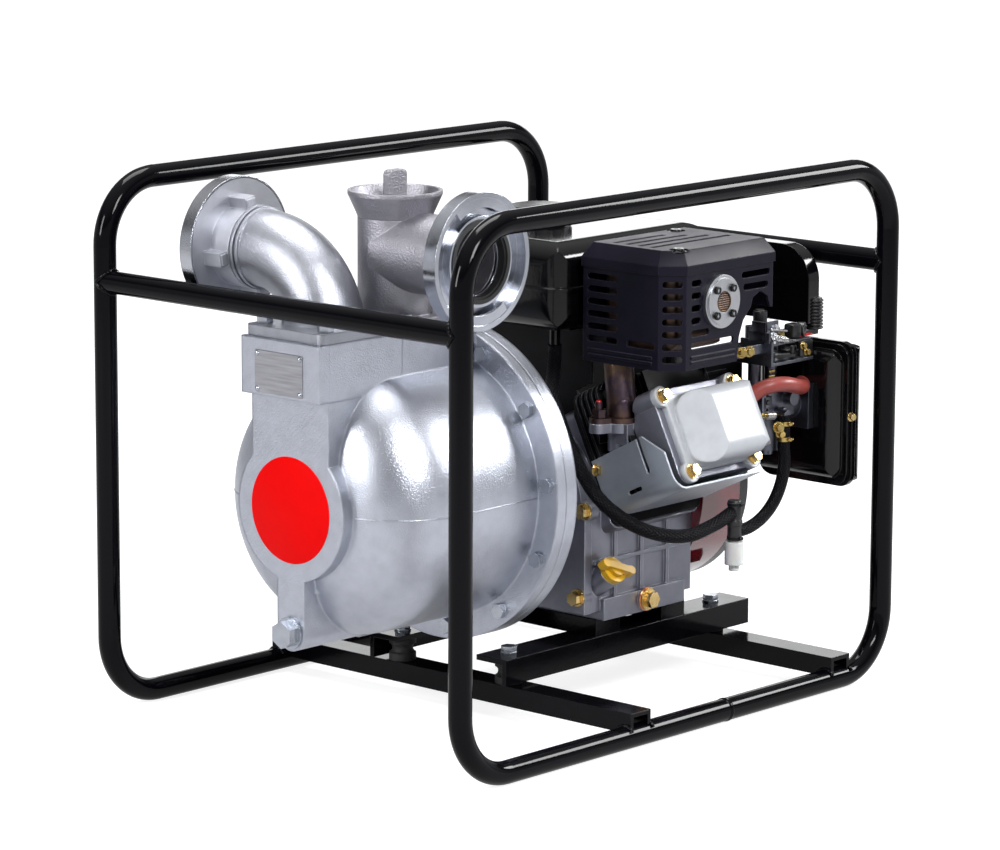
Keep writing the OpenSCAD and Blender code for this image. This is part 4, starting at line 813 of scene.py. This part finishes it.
hex_head(bm, (196, -162, 329), (0, 0, 1), 6, 2.4, 4.4)
rod(bm, (172, -173.5, 268.4), (198.5, -173.5, 265.2), 2.3)
hex_head(bm, (198.2, -173.5, 265.3), (1, 0, -0.12), 6.4, 4)
hex_head(bm, (183, -186, 257), (-0.4, -1, 0.1), 7, 5, 5.4)
hex_head(bm, (188, -184, 251), (-0.3, -1, -0.2), 6, 5, 4.6)
for z in (303.5, 308.5):
    rod(bm, (186, -171.5, z), (192.5, -173.2, z), 1.5)
piece("brass_screws", bm, "brass")
bm = bmesh.new()
spring(bm, (184, -178, 342), (205, -178, 337), 2.6, 0.5, 9)
spring(bm, (176, -177, 268), (188, -177, 266.6), 3.4, 0.55, 6)
rod(bm, (181, -178, 343), (184.5, -178, 342), 0.6)
rod(bm, (205, -178, 337), (222, -175, 335), 0.6)
rod(bm, (186, -174, 349), (212, -172, 344.4), 1.2)
rod(bm, (205, -160, 336), (205, -160, 352), 1.6)
rod(bm, (216, -158, 335), (216, -158, 346), 2.2)
rod(bm, (189, -175, 335), (189, -175, 341), 2.4)
hex_head(bm, (191, -171, 342), (0, -1, 0), 6, 3, 4.2)
hex_head(bm, (196, -171, 350), (0, -1, 0), 5, 2.5)
piece("governor_links", bm, "steel")


# rear covers: screws, hub ring and a knob
bm = bmesh.new()
for i in range(6):
    a = math.radians(30 + 60 * i)
    hex_head(bm, (240, 92 * math.cos(a), SHAFT_Z + 92 * math.sin(a)), (1, 0, 0), 8, 4.5, 6.6, 0.3 * i)
for y, z in ((-138, 356), (-60, 356), (40, 356), (-110, 404), (20, 404)):
    hex_head(bm, (280, y, z), (1, 0, 0), 6, 3.2, 5.2, 0.2 * y)
piece("rear_screws", bm, "zinc")
bm = bmesh.new()
lathe(bm, [(0, 0), (25.5, 0), (25.5, 1.6), (24.6, 2.4), (20.5, 2.4), (19.6, 1.4), (8, 1.4), (7, 3.0), (5, 3.6),
           (0, 3.6)], (262, 0, SHAFT_Z), (1, 0, 0), 64)
lathe(bm, [(0, 0), (9.5, 0), (9.5, 1.4), (6.5, 2.0), (5.5, 7.0), (4.4, 8.0), (0, 8.0)],
      (289, CLEANER_Y, 259), (1, 0, 0), 40)
for y in (CLEANER_Y - 13, CLEANER_Y + 5):
    block(bm, 290.5, 296.5, y, y + 8, 257.4, 260.6, 1.2)
piece("rear_hub", bm, "plastic")


# weld beads
def bead(bm, path, r):
    """Weld of uneven thickness along a path."""
    sweep(bm, path, lambda t: r * (1 + 0.16 * math.sin(t * len(path) * 1.9)), 10)


bm = bmesh.new()
# round the ends of the cross tubes
r = TUBE_R + 0.4
angles = [2 * math.pi * i / 48 for i in range(49)]
for sx in (-1, 1):
    for sy in (-1, 1):
        bead(bm, [Vector((sx * LEG_X + r * math.cos(a), sy * (LOOP_Y - (TUBE_R + 0.5) * abs(math.sin(a))),
                          CROSS_Z + r * math.sin(a))) for a in angles], 1.9)
# over the tubes, beside the base rails
r = TUBE_R + 0.6
angles = [math.radians(35 + 110 * i / 20) for i in range(21)]
for x in (-65, 230):
    for sy in (-1, 1):
        for sx in (-1, 1):
            bead(bm, [Vector((x + sx * 14.6, sy * LOOP_Y + r * math.cos(a), TUBE_R + r * math.sin(a)))
                      for a in angles], 1.7)
piece("weld_beads", bm, "frame")
